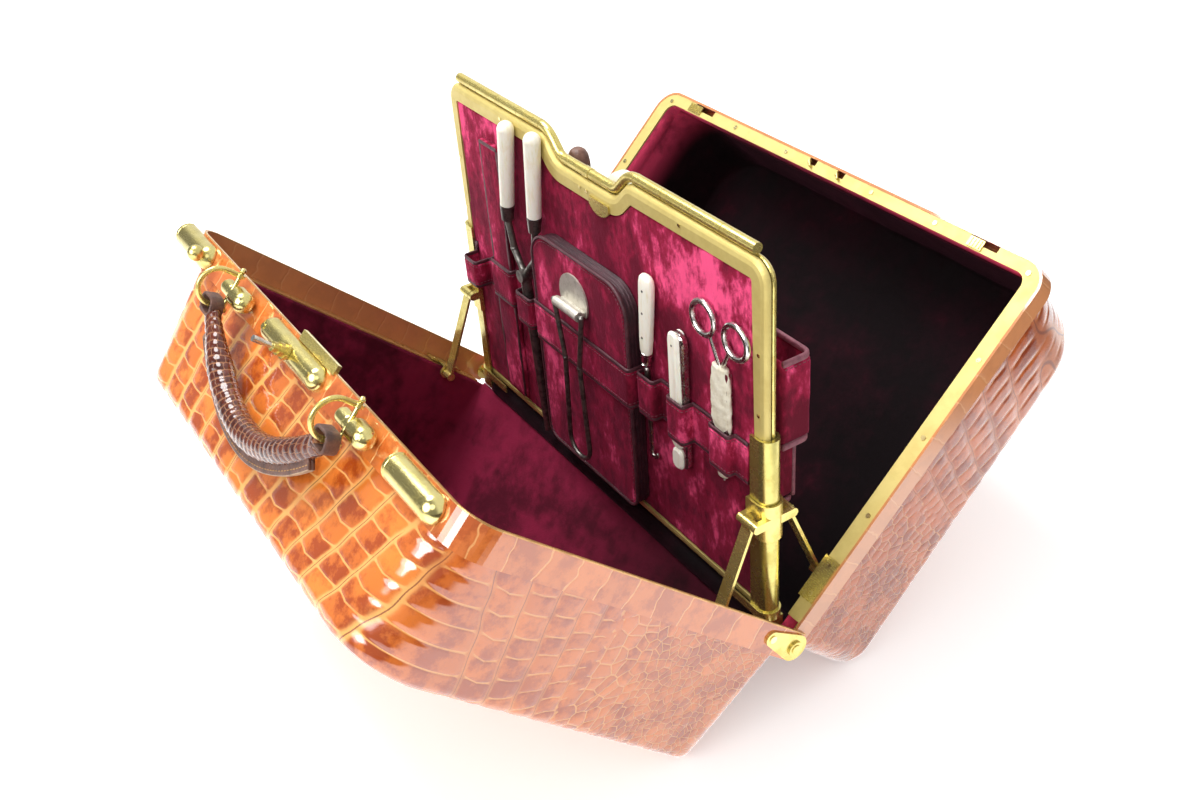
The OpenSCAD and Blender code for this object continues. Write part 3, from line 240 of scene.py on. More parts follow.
def hide_finish(t, bsdf, edge, cell, spot, colors, width=0.05, rough=0.2, relief=0.0006, seam=None, coat=1.75):
    """Glossy crocodile: rounded scales, paler grooves with dark cracks, mottled colour and fine grain."""
    top, deep, groove = colors
    mottle = t.noise(spot, 0.05, 5.0, 0.65)
    blot = t.span(mottle, 0.44, 0.62)
    each = t.add("SeparateColor", Color=cell).outputs[0]
    shade = t.math("MULTIPLY_ADD", each, 0.5, t.times(blot, 0.75), clamp=True)
    body = t.mix(shade, top, deep)
    fine = t.noise(spot, 0.9, 3.0, 0.6)
    line = t.span(edge, width * 0.3, width * 1.3, 1.0, 0.0)
    torn = t.times(line, t.span(t.noise(spot, 0.12, 2.0), 0.3, 0.5, 0.6, 1.0), clamp=True)
    color = t.mix(torn, body, groove)
    if seam is not None:
        across = t.math("ABSOLUTE", t.axis(spot, 0))
        wall = t.span(across, 172.0, 190.0)
        band = t.plus(seam, t.math("MULTIPLY_ADD", t.noise(spot, 0.16, 3.0), 0.16, -0.08))
        fade = t.times(t.minus(1.0, wall), 0.62)
        color = t.mix(t.times(t.span(band, 0.02, 0.15, 1.0, 0.0), fade), color, groove)
        color = t.mix(t.times(t.span(band, 0.05, 0.16, 0.75, 0.0), wall), color, body)
        cracked = t.span(t.noise(t.vmath("ADD", spot, (90, 40, 10)), 0.012, 2.0), 0.47, 0.53)
        cracked = t.math("MAXIMUM", cracked, t.times(wall, 0.9))
        thin = t.span(t.plus(seam, t.times(fine, 0.02)), 0.014, 0.03, 0.85, 0.0)
        color = t.mix(t.times(cracked, thin), color, (0.20, 0.045, 0.018))
        # Painted shade: the side walls are drawn toward the deep tone, darker because of how light falls on them.
        color = t.mix(t.times(wall, 0.3), color, deep)
    color = t.mix(t.span(fine, 0.55, 0.75, 0.0, 0.25), color, tuple(0.6 * v for v in deep))
    dull = t.math("MULTIPLY_ADD", line, 0.14, t.span(fine, 0.3, 0.8, rough, rough + 0.1))
    t.give(bsdf, Base_Color=color, Roughness=dull, Coat_Weight=1.0, Coat_IOR=coat, Coat_Roughness=0.045,
        Specular_IOR_Level=0.12)
    pillow = t.span(edge, 0.0, width * 3.2)
    grain = t.times(t.noise(spot, 2.2, 2.0), 0.10)
    bump(t, bsdf, t.plus(pillow, grain), 0.7, relief)


def hide_material(name, colors, relief=0.0006, coat=1.75):
    m, t, bsdf = material(name)
    data = t.add("Attribute", {"attribute_name": "hide"}).outputs["Vector"]
    edge, cell, seam = hide_cells(t, data, t.axis(data, 2))
    hide_finish(t, bsdf, edge, cell, place(t), colors, relief=relief, seam=seam, coat=coat)
    return m


def rim_distance(t, x, z):
    """How far outside the rounded outline of the rim a point lies, below 0 inside it, and how far along it."""
    x = t.math("ABSOLUTE", x)
    a, b = t.minus(x, RIM_X - RIM_R), t.minus(z, RIM_H - RIM_R)
    a0, b0 = (t.math("MAXIMUM", v, 0.0) for v in (a, b))
    corner = t.add("VectorMath", {"operation": "LENGTH"}, i0=t.add("CombineXYZ", X=a0, Y=b0).outputs[0])
    flat = t.math("MINIMUM", t.math("MAXIMUM", a, b), 0.0)
    round_it = t.math("ARCTAN2", a0, b0)
    run = t.minus(t.math("MINIMUM", x, RIM_X - RIM_R), t.math("MINIMUM", b, 0.0))
    outside = t.minus(t.plus(corner.outputs["Value"], flat), RIM_R)
    return outside, t.math("MULTIPLY_ADD", round_it, RIM_R, run)


def rim_material(name, side):
    """Glossy strip of hide with thin lines across it, and the duller band round the inside."""
    m, t, bsdf = material(name)
    spot = tray_place(t, side)
    outside, along = rim_distance(t, t.axis(spot, 0), t.axis(spot, 2))
    run = t.math("MULTIPLY_ADD", along, 1 / 23, t.times(t.noise(place(t), 0.05, 2.0), 0.5))
    edge = t.math("PINGPONG", run, 0.5)
    cell = t.add("TexWhiteNoise", {"noise_dimensions": "1D"}, W=t.math("FLOOR", run)).outputs["Color"]
    colors = (0.72, 0.20, 0.042), (0.46, 0.095, 0.018), (0.80, 0.36, 0.12)
    hide_finish(t, bsdf, edge, cell, place(t), colors, 0.024, 0.14, 0.0003)
    inner = t.math("LESS_THAN", outside, -1.2)
    base = bsdf.inputs["Base Color"].links[0].from_socket
    t.put(bsdf, "Base Color", t.mix(inner, base, t.mix(0.7, base, (0.62, 0.29, 0.13))))
    return m


def velvet_material(name, colors, blot, stretch, lift, sheen, tint, spread, side=0, painted_light_patches=()):
    """Crushed velvet: pile that lies different ways in blotches, with a coloured sheen. patches are brighter places
    of painted sheen or darker places of painted shade, and side gives a tray's lining its redder band of painted
    light near the rim."""
    m, t, bsdf = material(name)
    deep, mid, bright = colors
    here = place(t)
    p = t.scaled(here, *stretch)
    big = t.noise(p, blot, 5.0, 0.62)
    small = t.noise(p, blot * 7, 3.0, 0.6)
    pile = t.noise(here, 1.6, 2.0, 0.7)
    lay = t.plus(t.times(big, 0.78), t.times(small, 0.22))
    lay2 = t.math("MULTIPLY_ADD", t.minus(pile, 0.5), 0.10, lay)
    # Painted sheen and painted shade: each given place is lifted or lowered in the blotch pattern.
    for where, size, gain in painted_light_patches:
        far = t.add("VectorMath", {"operation": "DISTANCE"}, i0=here, i1=where).outputs["Value"]
        lay2 = t.plus(lay2, t.span(far, size * 0.3, size, gain, 0.0))
    low = t.mix(t.span(lay2, spread[0], spread[1]), deep, mid)
    color = t.mix(t.span(lay2, spread[2], spread[3], 0.0, lift), low, bright)
    # Painted light: a brighter band down from the rim stands in for light falling on the lining there; on the front
    # it is also faded toward +x.
    if side:
        depth = t.axis(tray_place(t, side), 1)
        near = t.times(t.span(depth, 2.0, 42.0, 1.0, 0.0), t.span(lay2, 0.38, 0.56, 0.35, 1.0))
        if side > 0:
            near = t.times(near, t.span(t.axis(here, 0), -60.0, 110.0, 1.0, 0.2))
        color = t.mix(near, color, (0.23, 0.012, 0.045) if side > 0 else (0.85, 0.070, 0.17))
    t.give(bsdf, Base_Color=color, Roughness=0.85, Specular_IOR_Level=0.15, Sheen_Weight=sheen,
        Sheen_Roughness=0.35, Sheen_Tint=(*tint, 1))
    height = t.math("MULTIPLY_ADD", pile, 0.5, t.times(small, 1.0))
    bump(t, bsdf, height, 0.5, 0.0012)
    return m


def brass_material(name, light, dark, rough=0.16, metal=1.0):
    m, t, bsdf = material(name)
    p = place(t)
    cloud = t.noise(p, 0.07, 4.0, 0.6)
    scratch = t.noise(t.scaled(p, 0.25, 3.0, 3.0), 1.2, 2.0, 0.6)
    t.put(bsdf, "Base Color", t.mix(t.span(cloud, 0.38, 0.68), light, dark))
    dull = t.plus(t.span(cloud, 0.35, 0.7, rough, rough + 0.12), t.span(scratch, 0.5, 0.75, 0.0, 0.12))
    t.give(bsdf, Roughness=dull, Metallic=metal)
    bump(t, bsdf, t.plus(t.noise(p, 0.12, 2.0), t.times(scratch, 0.1)), 0.16, 0.0004)
    return m


def leather_material(name, light, dark, rough=0.45, grain=1.4):
    m, t, bsdf = material(name)
    p = place(t)
    cloud = t.noise(p, 0.12, 4.0, 0.65)
    pores = t.add("TexVoronoi", Vector=p, Scale=grain).outputs["Distance"]
    wear = t.noise(p, 0.6, 3.0)
    color = t.mix(t.span(cloud, 0.35, 0.68), light, dark)
    worn = tuple(min(1, 1.7 * v) for v in light)
    t.put(bsdf, "Base Color", t.mix(t.span(wear, 0.58, 0.75, 0.0, 0.4), color, worn))
    t.put(bsdf, "Roughness", t.span(wear, 0.3, 0.7, rough, rough + 0.2))
    bump(t, bsdf, t.plus(pores, t.times(wear, 0.6)), 0.45, 0.0004)
    return m


def ivory_material():
    m, t, bsdf = material("old_ivory")
    p = place(t)
    grain = t.noise(t.scaled(p, 1.0, 1.0, 0.12), 0.7, 4.0, 0.6)
    stain = t.noise(p, 0.09, 3.0)
    color = t.mix(t.span(grain, 0.45, 0.75), (0.96, 0.93, 0.82), (0.88, 0.82, 0.62))
    color = t.mix(t.span(stain, 0.58, 0.78, 0.0, 0.4), color, (0.80, 0.68, 0.44))
    t.give(bsdf, Base_Color=color, Roughness=t.span(grain, 0.3, 0.7, 0.28, 0.42), Subsurface_Weight=0.08,
        Subsurface_Scale=0.004)
    bump(t, bsdf, grain, 0.2, 0.0002)
    return m


def steel_material(name, light, dark, rough, metal=1.0):
    m, t, bsdf = material(name)
    p = place(t)
    cloud = t.noise(p, 0.16, 4.0, 0.65)
    fine = t.noise(p, 1.5, 3.0)
    t.put(bsdf, "Base Color", t.mix(t.span(cloud, 0.4, 0.65), light, dark))
    dull = t.plus(t.span(cloud, 0.35, 0.7, rough, rough + 0.18), t.span(fine, 0.5, 0.8, 0, 0.1))
    t.give(bsdf, Roughness=dull, Metallic=metal)
    bump(t, bsdf, fine, 0.25, 0.0002)
    return m


def seen_directly(t):
    """1 for camera, glossy and transmission rays, else 0."""
    path = t.add("LightPath")
    some = t.plus(path.outputs["Is Camera Ray"], path.outputs["Is Glossy Ray"])
    return t.plus(some, path.outputs["Is Transmission Ray"], clamp=True)


def floor_material():
    """White floor. In reflections a bright sheet lies at the right, and the dark room begins beyond it."""
    m, t, bsdf = material("floor_white")
    shiny = t.add("LightPath").outputs["Is Glossy Ray"]
    where = t.add("TexCoord").outputs["Object"]
    away = t.math("MULTIPLY_ADD", t.axis(where, 1), 0.45, t.axis(where, 0))
    beyond = t.times(shiny, t.span(away, 0.44, 0.58))
    white = t.mix(t.noise(None, 3.0), (0.90, 0.90, 0.90), (0.87, 0.87, 0.87))
    t.put(bsdf, "Base Color", t.mix(beyond, white, (0.07, 0.06, 0.055)))
    sheet = t.times(shiny, t.span(t.axis(where, 0), 0.10, 0.22))
    glow = t.math("MULTIPLY_ADD", sheet, 0.85, t.times(seen_directly(t), 0.35))
    glow = t.times(glow, t.minus(1.0, beyond))
    t.give(bsdf, Roughness=0.9, Specular_IOR_Level=0.1, Emission_Color=(1, 1, 1, 1), Emission_Strength=glow)
    return m


def white_world():
    """White to the camera. Reflections see a darker room toward -Y with one softbox in it."""
    world = bpy.data.worlds.new("studio")
    world.use_nodes = True
    t = Tree(world.node_tree)
    out = t.add("OutputWorld")
    soft = t.add("Background", Color=(1, 1, 1, 1), Strength=0.8)
    seen = t.add("Background", Color=(1, 1, 1, 1))
    way = t.add("TexCoord").outputs["Generated"]
    room = t.span(t.axis(way, 1), -0.25, 0.25, 0.3, 1.0)
    toward = t.add("VectorMath", {"operation": "DOT_PRODUCT"}, i0=way, i1=(0.03, -0.80, 0.60))
    softbox = t.span(toward.outputs["Value"], 0.90, 0.935, 0.0, 6.0)
    camera_ray = t.add("LightPath").outputs["Is Camera Ray"]
    t.put(seen, "Strength", t.math("MAXIMUM", camera_ray, t.plus(room, softbox)))
    mix = t.add("MixShader", i0=seen_directly(t), i1=soft.outputs[0], i2=seen.outputs[0])
    t.tree.links.new(mix.outputs[0], out.inputs[0])
    bpy.context.scene.world = world


def lamp(name, where, size, power):
    aim = Vector((0, 0, 0.12))
    data = bpy.data.lights.new(name, "AREA")
    data.shape = "DISK"
    data.size = size
    data.energy = power
    o = linked(name, data)
    o.location = where
    o.rotation_euler = (aim - Vector(where)).to_track_quat("-Z", "Y").to_euler()


# Mesh building
slot_of = {s["node"]: s["material_slot"] for s in frame["record"]["subparts"]}
mats = {}


def piece(name, verts, faces, finish, body, replaced=(), attribute=None, recalc=True):
    """One drawn mesh that rides on a body, and the CAD nodes that it replaces."""
    mesh = bpy.data.meshes.new(name)
    mesh.from_pydata(verts, [], faces)
    if attribute is not None:
        layer = mesh.attributes.new("hide", "FLOAT_VECTOR", "POINT")
        layer.data.foreach_set("vector", [c for v in attribute for c in v])
    if recalc:
        bm = bmesh.new()
        bm.from_mesh(mesh)
        bmesh.ops.recalc_face_normals(bm, faces=bm.faces)
        bm.to_mesh(mesh)
        bm.free()
    mesh.polygons.foreach_set("use_smooth", [True] * len(mesh.polygons))
    o = linked(name, mesh)
    mesh.materials.append(mats[finish])
    if replaced:
        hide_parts(*replaced)
    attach(o, body)
    return o


def turned(o, inside_out):
    """Turns all faces over if inside_out(bm) is true."""
    bm = bmesh.new()
    bm.from_mesh(o.data)
    bm.normal_update()
    if inside_out(bm):
        bmesh.ops.reverse_faces(bm, faces=bm.faces)
    bm.to_mesh(o.data)
    bm.free()


def thickened(o, thickness):
    thick = o.modifiers.new("thickness", "SOLIDIFY")
    thick.thickness = thickness
    thick.offset = -1
    applied(o)


def applied(o):
    """Turns the object's modifiers into its mesh."""
    deps = bpy.context.evaluated_depsgraph_get()
    old = o.data
    o.data = bpy.data.meshes.new_from_object(o.evaluated_get(deps), depsgraph=deps)
    o.modifiers.clear()
    bpy.data.meshes.remove(old)


def ring_faces(n, count, first=0):
    """Faces between count rings of n points each, which start at the point first."""
    out = []
    for a in range(first, first + (count - 1) * n, n):
        for i in range(n):
            j = (i + 1) % n
            out.append((a + i, a + j, a + n + j, a + n + i))
    return out


def lid(n, first, back=False):
    return tuple(first + i for i in (range(n - 1, -1, -1) if back else range(n)))


class Parts:
    """Collects closed tubes and blocks into one mesh."""

    def __init__(self):
        self.verts = []
        self.faces = []

    def rings(self, rings, loop=False):
        n, base = len(rings[0]), len(self.verts)
        last = base + (len(rings) - 1) * n
        for r in rings:
            self.verts.extend(r)
        self.faces += ring_faces(n, len(rings), base)
        if loop:
            self.faces += [(last + i, last + (i + 1) % n, base + (i + 1) % n, base + i) for i in range(n)]
        else:
            self.faces += [lid(n, base, True), lid(n, last)]

    def sweep(self, path, shape, side, loop=False):
        """shape holds (across, along side) offsets in mm."""
        n = len(path)
        rings = []
        for k, p in enumerate(path):
            a = path[(k - 1) % n] if loop or k else path[k]
            b = path[(k + 1) % n] if loop or k < n - 1 else path[k]
            along = (b - a).normalized()
            out = side.cross(along).normalized()
            s = along.cross(out)
            rings.append([p + out * (u * MM) + s * (v * MM) for u, v in shape])
        self.rings(rings, loop=loop)

    def stitches(self, path, out, step=3.1, length=2.1, thick=0.42, lift=0.15):
        """Short round threads along a path; out is the way off the cloth, fixed or one for each point."""
        total, marks = 0.0, [0.0]
        for a, b in zip(path, path[1:]):
            total += (b - a).length / MM
            marks.append(total)

        def at(s):
            k = next((k for k, mark in enumerate(marks[1:]) if s <= mark), len(path) - 2)
            a, b = path[k], path[k + 1]
            f = (s - marks[k]) / max(marks[k + 1] - marks[k], 1e-6)
            return a.lerp(b, f), (b - a).normalized(), out[k] if isinstance(out, list) else out
        count = max(int(total / step), 1)
        for i in range(count):
            p, along, o = at((i + 0.5) * total / count)
            across = along.cross(o).normalized()
            rings = []
            for f, r in ((-0.5, 0.35), (-0.38, 0.9), (0.0, 1.0), (0.38, 0.9), (0.5, 0.35)):
                c = p + along * (f * length * MM) + o * ((lift - 0.9 * abs(f) * lift) * MM)
                rings.append([c + (across * cos(a) + o * sin(a)) * (r * thick * 0.5 * MM)
                    for a in (0.0, 1.26, 2.51, 3.77, 5.03)])
            self.rings(rings)

    def done(self, name, finish, body, slot, replaced=(), smooth=None):
        """smooth is the angle in degrees above which an edge is drawn sharp."""
        o = piece(name, self.verts, self.faces, finish, body, replaced)
        if smooth is not None:
            o.data.set_sharp_from_angle(angle=radians(smooth))


def tube(rings, *how):
    """One closed tube as a piece of its own."""
    body = Parts()
    body.rings(rings)
    body.done(*how)


def arc(cx, cy, r, a0, n):
    """Quarter circle from the angle a0 on, in n steps."""
    angles = [radians(a0 + 90 * i / n) for i in range(n + 1)]
    return [(cx + r * cos(a), cy + r * sin(a)) for a in angles]


def rounded(w, h, r, n=4):
    """Rounded rectangle profile centred on 0, as (a, b) pairs."""
    r = min(r, w / 2 - 1e-3, h / 2 - 1e-3)
    x, y = w / 2 - r, h / 2 - r
    return arc(x, y, r, 0, n) + arc(-x, y, r, 90, n) + arc(-x, -y, r, 180, n) + arc(x, -y, r, 270, n)


def turn(n):
    """n even angles round a circle."""
    return [2 * pi * i / n for i in range(n)]


def circle(r, n):
    return [(r * cos(a), r * sin(a)) for a in turn(n)]


def bend(a, p, b, n):
    """Curve from a to b in n steps that is drawn toward p."""
    return [a * (1 - f) ** 2 + p * (2 * f * (1 - f)) + b * f ** 2 for f in (i / n for i in range(n + 1))]


def fillet(points, r, closed=False):
    """2D polyline with rounded corners."""
    out = []
    count = len(points)
    for k, p in enumerate(points):
        if not closed and k in (0, count - 1):
            out.append(p)
            continue
        p = Vector(p)
        va, vb = Vector(points[k - 1]) - p, Vector(points[(k + 1) % count]) - p
        t = min(r, va.length * 0.49, vb.length * 0.49)
        out += bend(p + va.normalized() * t, p, p + vb.normalized() * t, 6)
    return out


def spaced(points, step):
    """Points along a 2D or 3D polyline at about even steps."""
    pts = [Vector(p) for p in points]
    out = [pts[0]]
    for a, b in zip(pts, pts[1:]):
        k = max(int(round((b - a).length / step)), 1)
        out += [a.lerp(b, i / k) for i in range(1, k + 1)]
    return out


def uneven(x, y, z):
    return noise.noise(Vector((x, y, z)))


def rough_field(p, scale, seed=0.0):
    return uneven(p[0] * scale + seed, p[1] * scale, p[2] * scale)


# The trays' leather and linings: half width, lower edge, and radii of the upper and lower corners, where the
# leather starts and at the base
START_SHAPE, BASE_SHAPE = (192.0, -3.0, 28.0, 6.0), (186.0, -7.0, 42.0, 22.0)
SHELL_TOP, SHELL_EDGE = 275.0, 8.0


def outline(w, z0, z1, r1, r0, fine):
    """Tray outline from the middle of the hinge side, right, up, over and down the left."""
    def line(a, b, n):
        return [(a[0] + (b[0] - a[0]) * i / n, a[1] + (b[1] - a[1]) * i / n) for i in range(1, n)]
    half, up, over = int(160 / fine * 0.5), int(220 / fine), int(320 / fine)
    heel = arc(w - r0, z0 + r0, r0, 270, 8)
    crown = arc(w - r1, z1 - r1, r1, 0, 22)
    crown2 = arc(r1 - w, z1 - r1, r1, 90, 22)
    heel2 = arc(r0 - w, z0 + r0, r0, 180, 8)
    pts = [(0.0, z0)] + line((0, z0), heel[0], half) + heel + line(heel[-1], crown[0], up) + crown
    pts += line(crown[-1], crown2[0], over) + crown2 + line(crown2[-1], heel2[0], up) + heel2
    return pts + line(heel2[-1], (0, z0), half)


def base_depth(h, inset):
    """The tray's base slopes, so that it is deepest at the hinge."""
    return 102.0 - inset - 11.0 * h / RIM_H


def tray_rings(inset, start, fine=2.2, pitch=2.2):
    """Outlines (x, h, d) down the tray's wall from the depth start, and round its lower edge."""
    e = max(SHELL_EDGE - inset, 0.6)

    def size(w, z0, r1, r0):
        return w - inset, inset + z0, SHELL_TOP - inset, r1 - inset, max(r0 - inset, 1.5)
    first, last = (outline(*size(*shape), fine) for shape in (START_SHAPE, BASE_SHAPE))
    steps = int(90 / pitch)
    rings = []
    for f in (k / steps for k in range(steps + 1)):
        rings.append([(a[0] + (b[0] - a[0]) * f, a[1] + (b[1] - a[1]) * f,
            start + (base_depth(b[1], inset) - e - start) * f) for a, b in zip(first, last)])
    w, z0, z1, r1, r0 = size(*BASE_SHAPE)
    for k in range(1, 6):
        a = radians(90 * k / 5)
        i = e * (1 - cos(a))
        ring = outline(w - i, z0 + i, z1 - i, r1 - i, max(r0 - i, 1.0), fine)
        rings.append([(x, h, base_depth(h, inset) - e * (1 - sin(a))) for x, h in ring])
    return rings


def base_rings(rings, inset, count):
    """The last outline, drawn together over the base in count steps."""
    last = rings[-1]
    mid = (max(p[1] for p in last) + min(p[1] for p in last)) / 2
    out = []
    for k in range(count + 1):
        f = max((1 - k / count) ** 0.9, 0.012)
        flat = [(x * f, mid + (h - mid) * f) for x, h, _ in last]
        out.append([(x, h, base_depth(h, inset)) for x, h in flat])
    return out


def smooth01(v):
    v = min(max(v, 0.0), 1.0)
    return v * v * (3 - 2 * v)


def scale_size(h, side):
    """Width, length and roundness of the scales: large at the tray's top, small and round near the hinge."""
    up = smooth01((h - 70) / 190 if side > 0 else (h - 40) / 200)
    wide = smooth01((h - (95 if side > 0 else 70)) / 85)
    return 6.0 + 21.0 * up, 5.4 + 8.2 * smooth01((h - 30) / 190), 0.95 * (1 - wide)


def hide_shell(name, at, side, body, node):
    """A tray's leather, and for each of its points the place in the pattern of scales."""
    rings = tray_rings(0.0, HIDE_START)
    n = len(rings[0])
    u, us = 0.0, []
    ring = rings[0]
    for i in range(n):
        us.append(u)
        a, b = ring[i], ring[(i + 1) % n]
        u += hypot(b[0] - a[0], b[1] - a[1]) / scale_size(a[1], side)[0]
    verts, field = [], []

    def lean(x, h, d, wide):
        """The columns fan out from the corners as they go down from the rim."""
        over = smooth01((h - 235) / 30)
        return (0.22 * over - 0.2 * (1 - over) * (1 if x > 0 else -1)) * (d - HIDE_START) / wide

    def put(x, h, d, uu, vv, rnd):
        p = at(x, h, d)
        p.z = max(p.z, 0.0)
        verts.append(p)
        wob_u = uneven(uu * 0.9 + 7 * side, vv * 0.9, 0.3) * 0.07
        wob_v = uneven(uu * 0.9, vv * 0.9, 5.3 + side) * 0.12
        big = uneven(uu * 0.22, vv * 0.22, 9.1 + side)
        field.append((uu + wob_u + big * 0.2 + 40.11, vv + wob_v + big * 0.3 + 40, rnd))
    for r in rings:
        for i, (x, h, d) in enumerate(r):
            su, sv, rnd = scale_size(ring[i][1], side)
            put(x, h, d, us[i] - lean(*ring[i][:2], d, su), (d - HIDE_START) / sv, rnd)
    wall = len(verts)
    base = base_rings(rings, 0.0, 46)
    for r in base:
        for x, h, d in r:
            put(x, h, d, h / 27 + 20.2, x / 14 + 40.3, 0.1)
    faces = ring_faces(n, len(rings)) + ring_faces(n, len(base), wall) + [lid(n, len(verts) - n)]
    # The rear tray gets a darker copy of the scales: painted shade.
    finish = "scales" if side > 0 else "shaded_rear_scales"
    o = piece(name, verts, faces, finish, body, (node,), field, recalc=False)

    def inside_out(bm):
        outer = max(bm.faces, key=lambda f: f.calc_center_median().length)
        middle = sum((v.co for v in bm.verts), Vector()) / len(bm.verts)
        return outer.normal.dot(outer.calc_center_median() - middle) < 0
    turned(o, inside_out)
    emboss(o)
    thickened(o, 0.0016)


def emboss(o, depth=0.0005, width=0.16):
    """Presses the grooves of the scales into the mesh, from the same cells as the material."""
    group = bpy.data.node_groups.new(o.name + "_emboss", "GeometryNodeTree")
    for way in ("INPUT", "OUTPUT"):
        group.interface.new_socket("Geometry", in_out=way, socket_type="NodeSocketGeometry")
    t = Tree(group)
    start = t.add("NodeGroupInput")
    end = t.add("NodeGroupOutput")
    data = t.add("GeometryNodeInputNamedAttribute", {"data_type": "FLOAT_VECTOR"}, Name="hide").outputs[0]
    near = hide_cells(t, data, t.axis(data, 2))[0]
    low = t.span(near, 0.0, width, -depth, 0.0)
    normal = t.add("GeometryNodeInputNormal")
    offset = t.add("VectorMath", {"operation": "SCALE"}, i0=normal.outputs[0], Scale=low)
    move = t.add("GeometryNodeSetPosition", Geometry=start.outputs[0], Offset=offset.outputs[0])
    t.tree.links.new(move.outputs[0], end.inputs[0])
    o.modifiers.new("emboss", "NODES").node_group = group


def lining(name, at, body, node, start, lip):
    """Velvet inside a tray, with the soft waves of cloth glued over board."""
    inset, middle = 4.6, at(0, 140, 20)
    rings = tray_rings(inset, start, 4.0, 3.6)
    if lip:
        w, top, r, d0, d1 = lip
        edge = outline(w, 2.0, top, r, 1.5, 4.0)
        rings = [[(x, h, d) for x, h in edge] for d in (d0, d1)] + rings
    else:
        heel = [(x, h, d if h > 4 or abs(x) > 186 else 6.0 if abs(x) < 166 else 7.0) for x, h, d in rings[0]]
        rings = [heel] + rings
    n = len(rings[0])
    base = base_rings(rings, inset, 26)[1:]
    verts = []
    for k, r in enumerate(rings + base):
        for x, h, d in r:
            p = at(x, h, d)
            if k > 4:
                wave = rough_field(p / MM, 0.018, 3.0) * 1.1 + rough_field(p / MM, 0.06, 8.0) * 0.35
                p = p + (middle - p).normalized() * ((wave + 0.6) * MM)
            p.z = max(p.z, 0.003)
            verts.append(p)
    faces = ring_faces(n, len(rings) + len(base)) + [lid(n, len(verts) - n)]
    o = piece(name, verts, faces, node.replace("lining", "well"), body, (node,), recalc=False)
    turned(o, lambda bm: sum(f.normal.dot(middle - f.calc_center_median()) for f in bm.faces) < 0)
    thickened(o, 0.0012)


def dressed(node, name, finish, voxel=2.2, amount=0.35, scale=0.12):
    """A soft copy of a soft solid: rounded, with an uneven nap."""
    src = nodes[node]
    mesh = src.data.copy()
    mesh.name = name
    o = linked(name, mesh)
    mesh.materials.clear()
    mesh.materials.append(mats[finish])
    melt = o.modifiers.new("remesh", "REMESH")
    melt.mode = "VOXEL"
    melt.voxel_size = voxel * MM
    melt.use_smooth_shade = True
    ease = o.modifiers.new("smooth", "SMOOTH")
    ease.factor = 0.5
    ease.iterations = 2
    applied(o)
    bm = bmesh.new()
    bm.from_mesh(o.data)
    bm.normal_update()
    for v in bm.verts:
        p = v.co / MM
        nap = rough_field(p, scale, 2.0) + 0.3 * rough_field(p, scale * 3.3, 4.0)
        v.co += v.normal * (nap * amount * MM)
    bm.to_mesh(o.data)
    bm.free()
    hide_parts(node)
    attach(o, body_of(src)[0])


def hinge_gusset():
    """Velvet roll along the hinge, under the panel."""
    rings = []
    for x in range(-168, 171, 3):
        ring = []
        for a in turn(28):
            r = 8.0 + 0.25 * uneven(x * 0.06, cos(a), sin(a))
            ring.append(Vector((x, r * cos(a), HINGE_Z + r * sin(a))) * MM)
        rings.append(ring)
    tube(rings, "hinge_gusset", "well_velvet", "centre", "dark_velvet", ("hinge_roll",))


# Handle
REST = radians(104)
GRIP_X, GRIP_S0, GRIP_REACH = 85.5, 16.2, 54.0


def swung_at(x, y, s):
    """A point of the handle: s out from its rings in the plane that it rests in, y square to that plane."""
    y2, z2 = y * cos(REST) - s * sin(REST), y * sin(REST) + s * cos(REST) + 21 + RIM_H
    return Vector((x, y2 * CO - z2 * SO, HINGE_Z + y2 * SO + z2 * CO)) * MM


def grip_mid(u):
    return GRIP_X * (1 - 2 * u), GRIP_S0 + (GRIP_REACH - GRIP_S0) * max(sin(pi * u), 0.0) ** 0.88


def grip_frame(u):
    """Middle, direction, and half widths of the roll in the plane of the bow and across it."""
    a, b = grip_mid(max(u - 0.01, 0)), grip_mid(min(u + 0.01, 1))
    dx, ds = b[0] - a[0], b[1] - a[1]
    n = hypot(dx, ds)
    full = smooth01(min(u, 1 - u) / 0.2)
    return grip_mid(u), (dx / n, ds / n), 7.2 + 1.0 * full, 4.6 + 3.6 * full


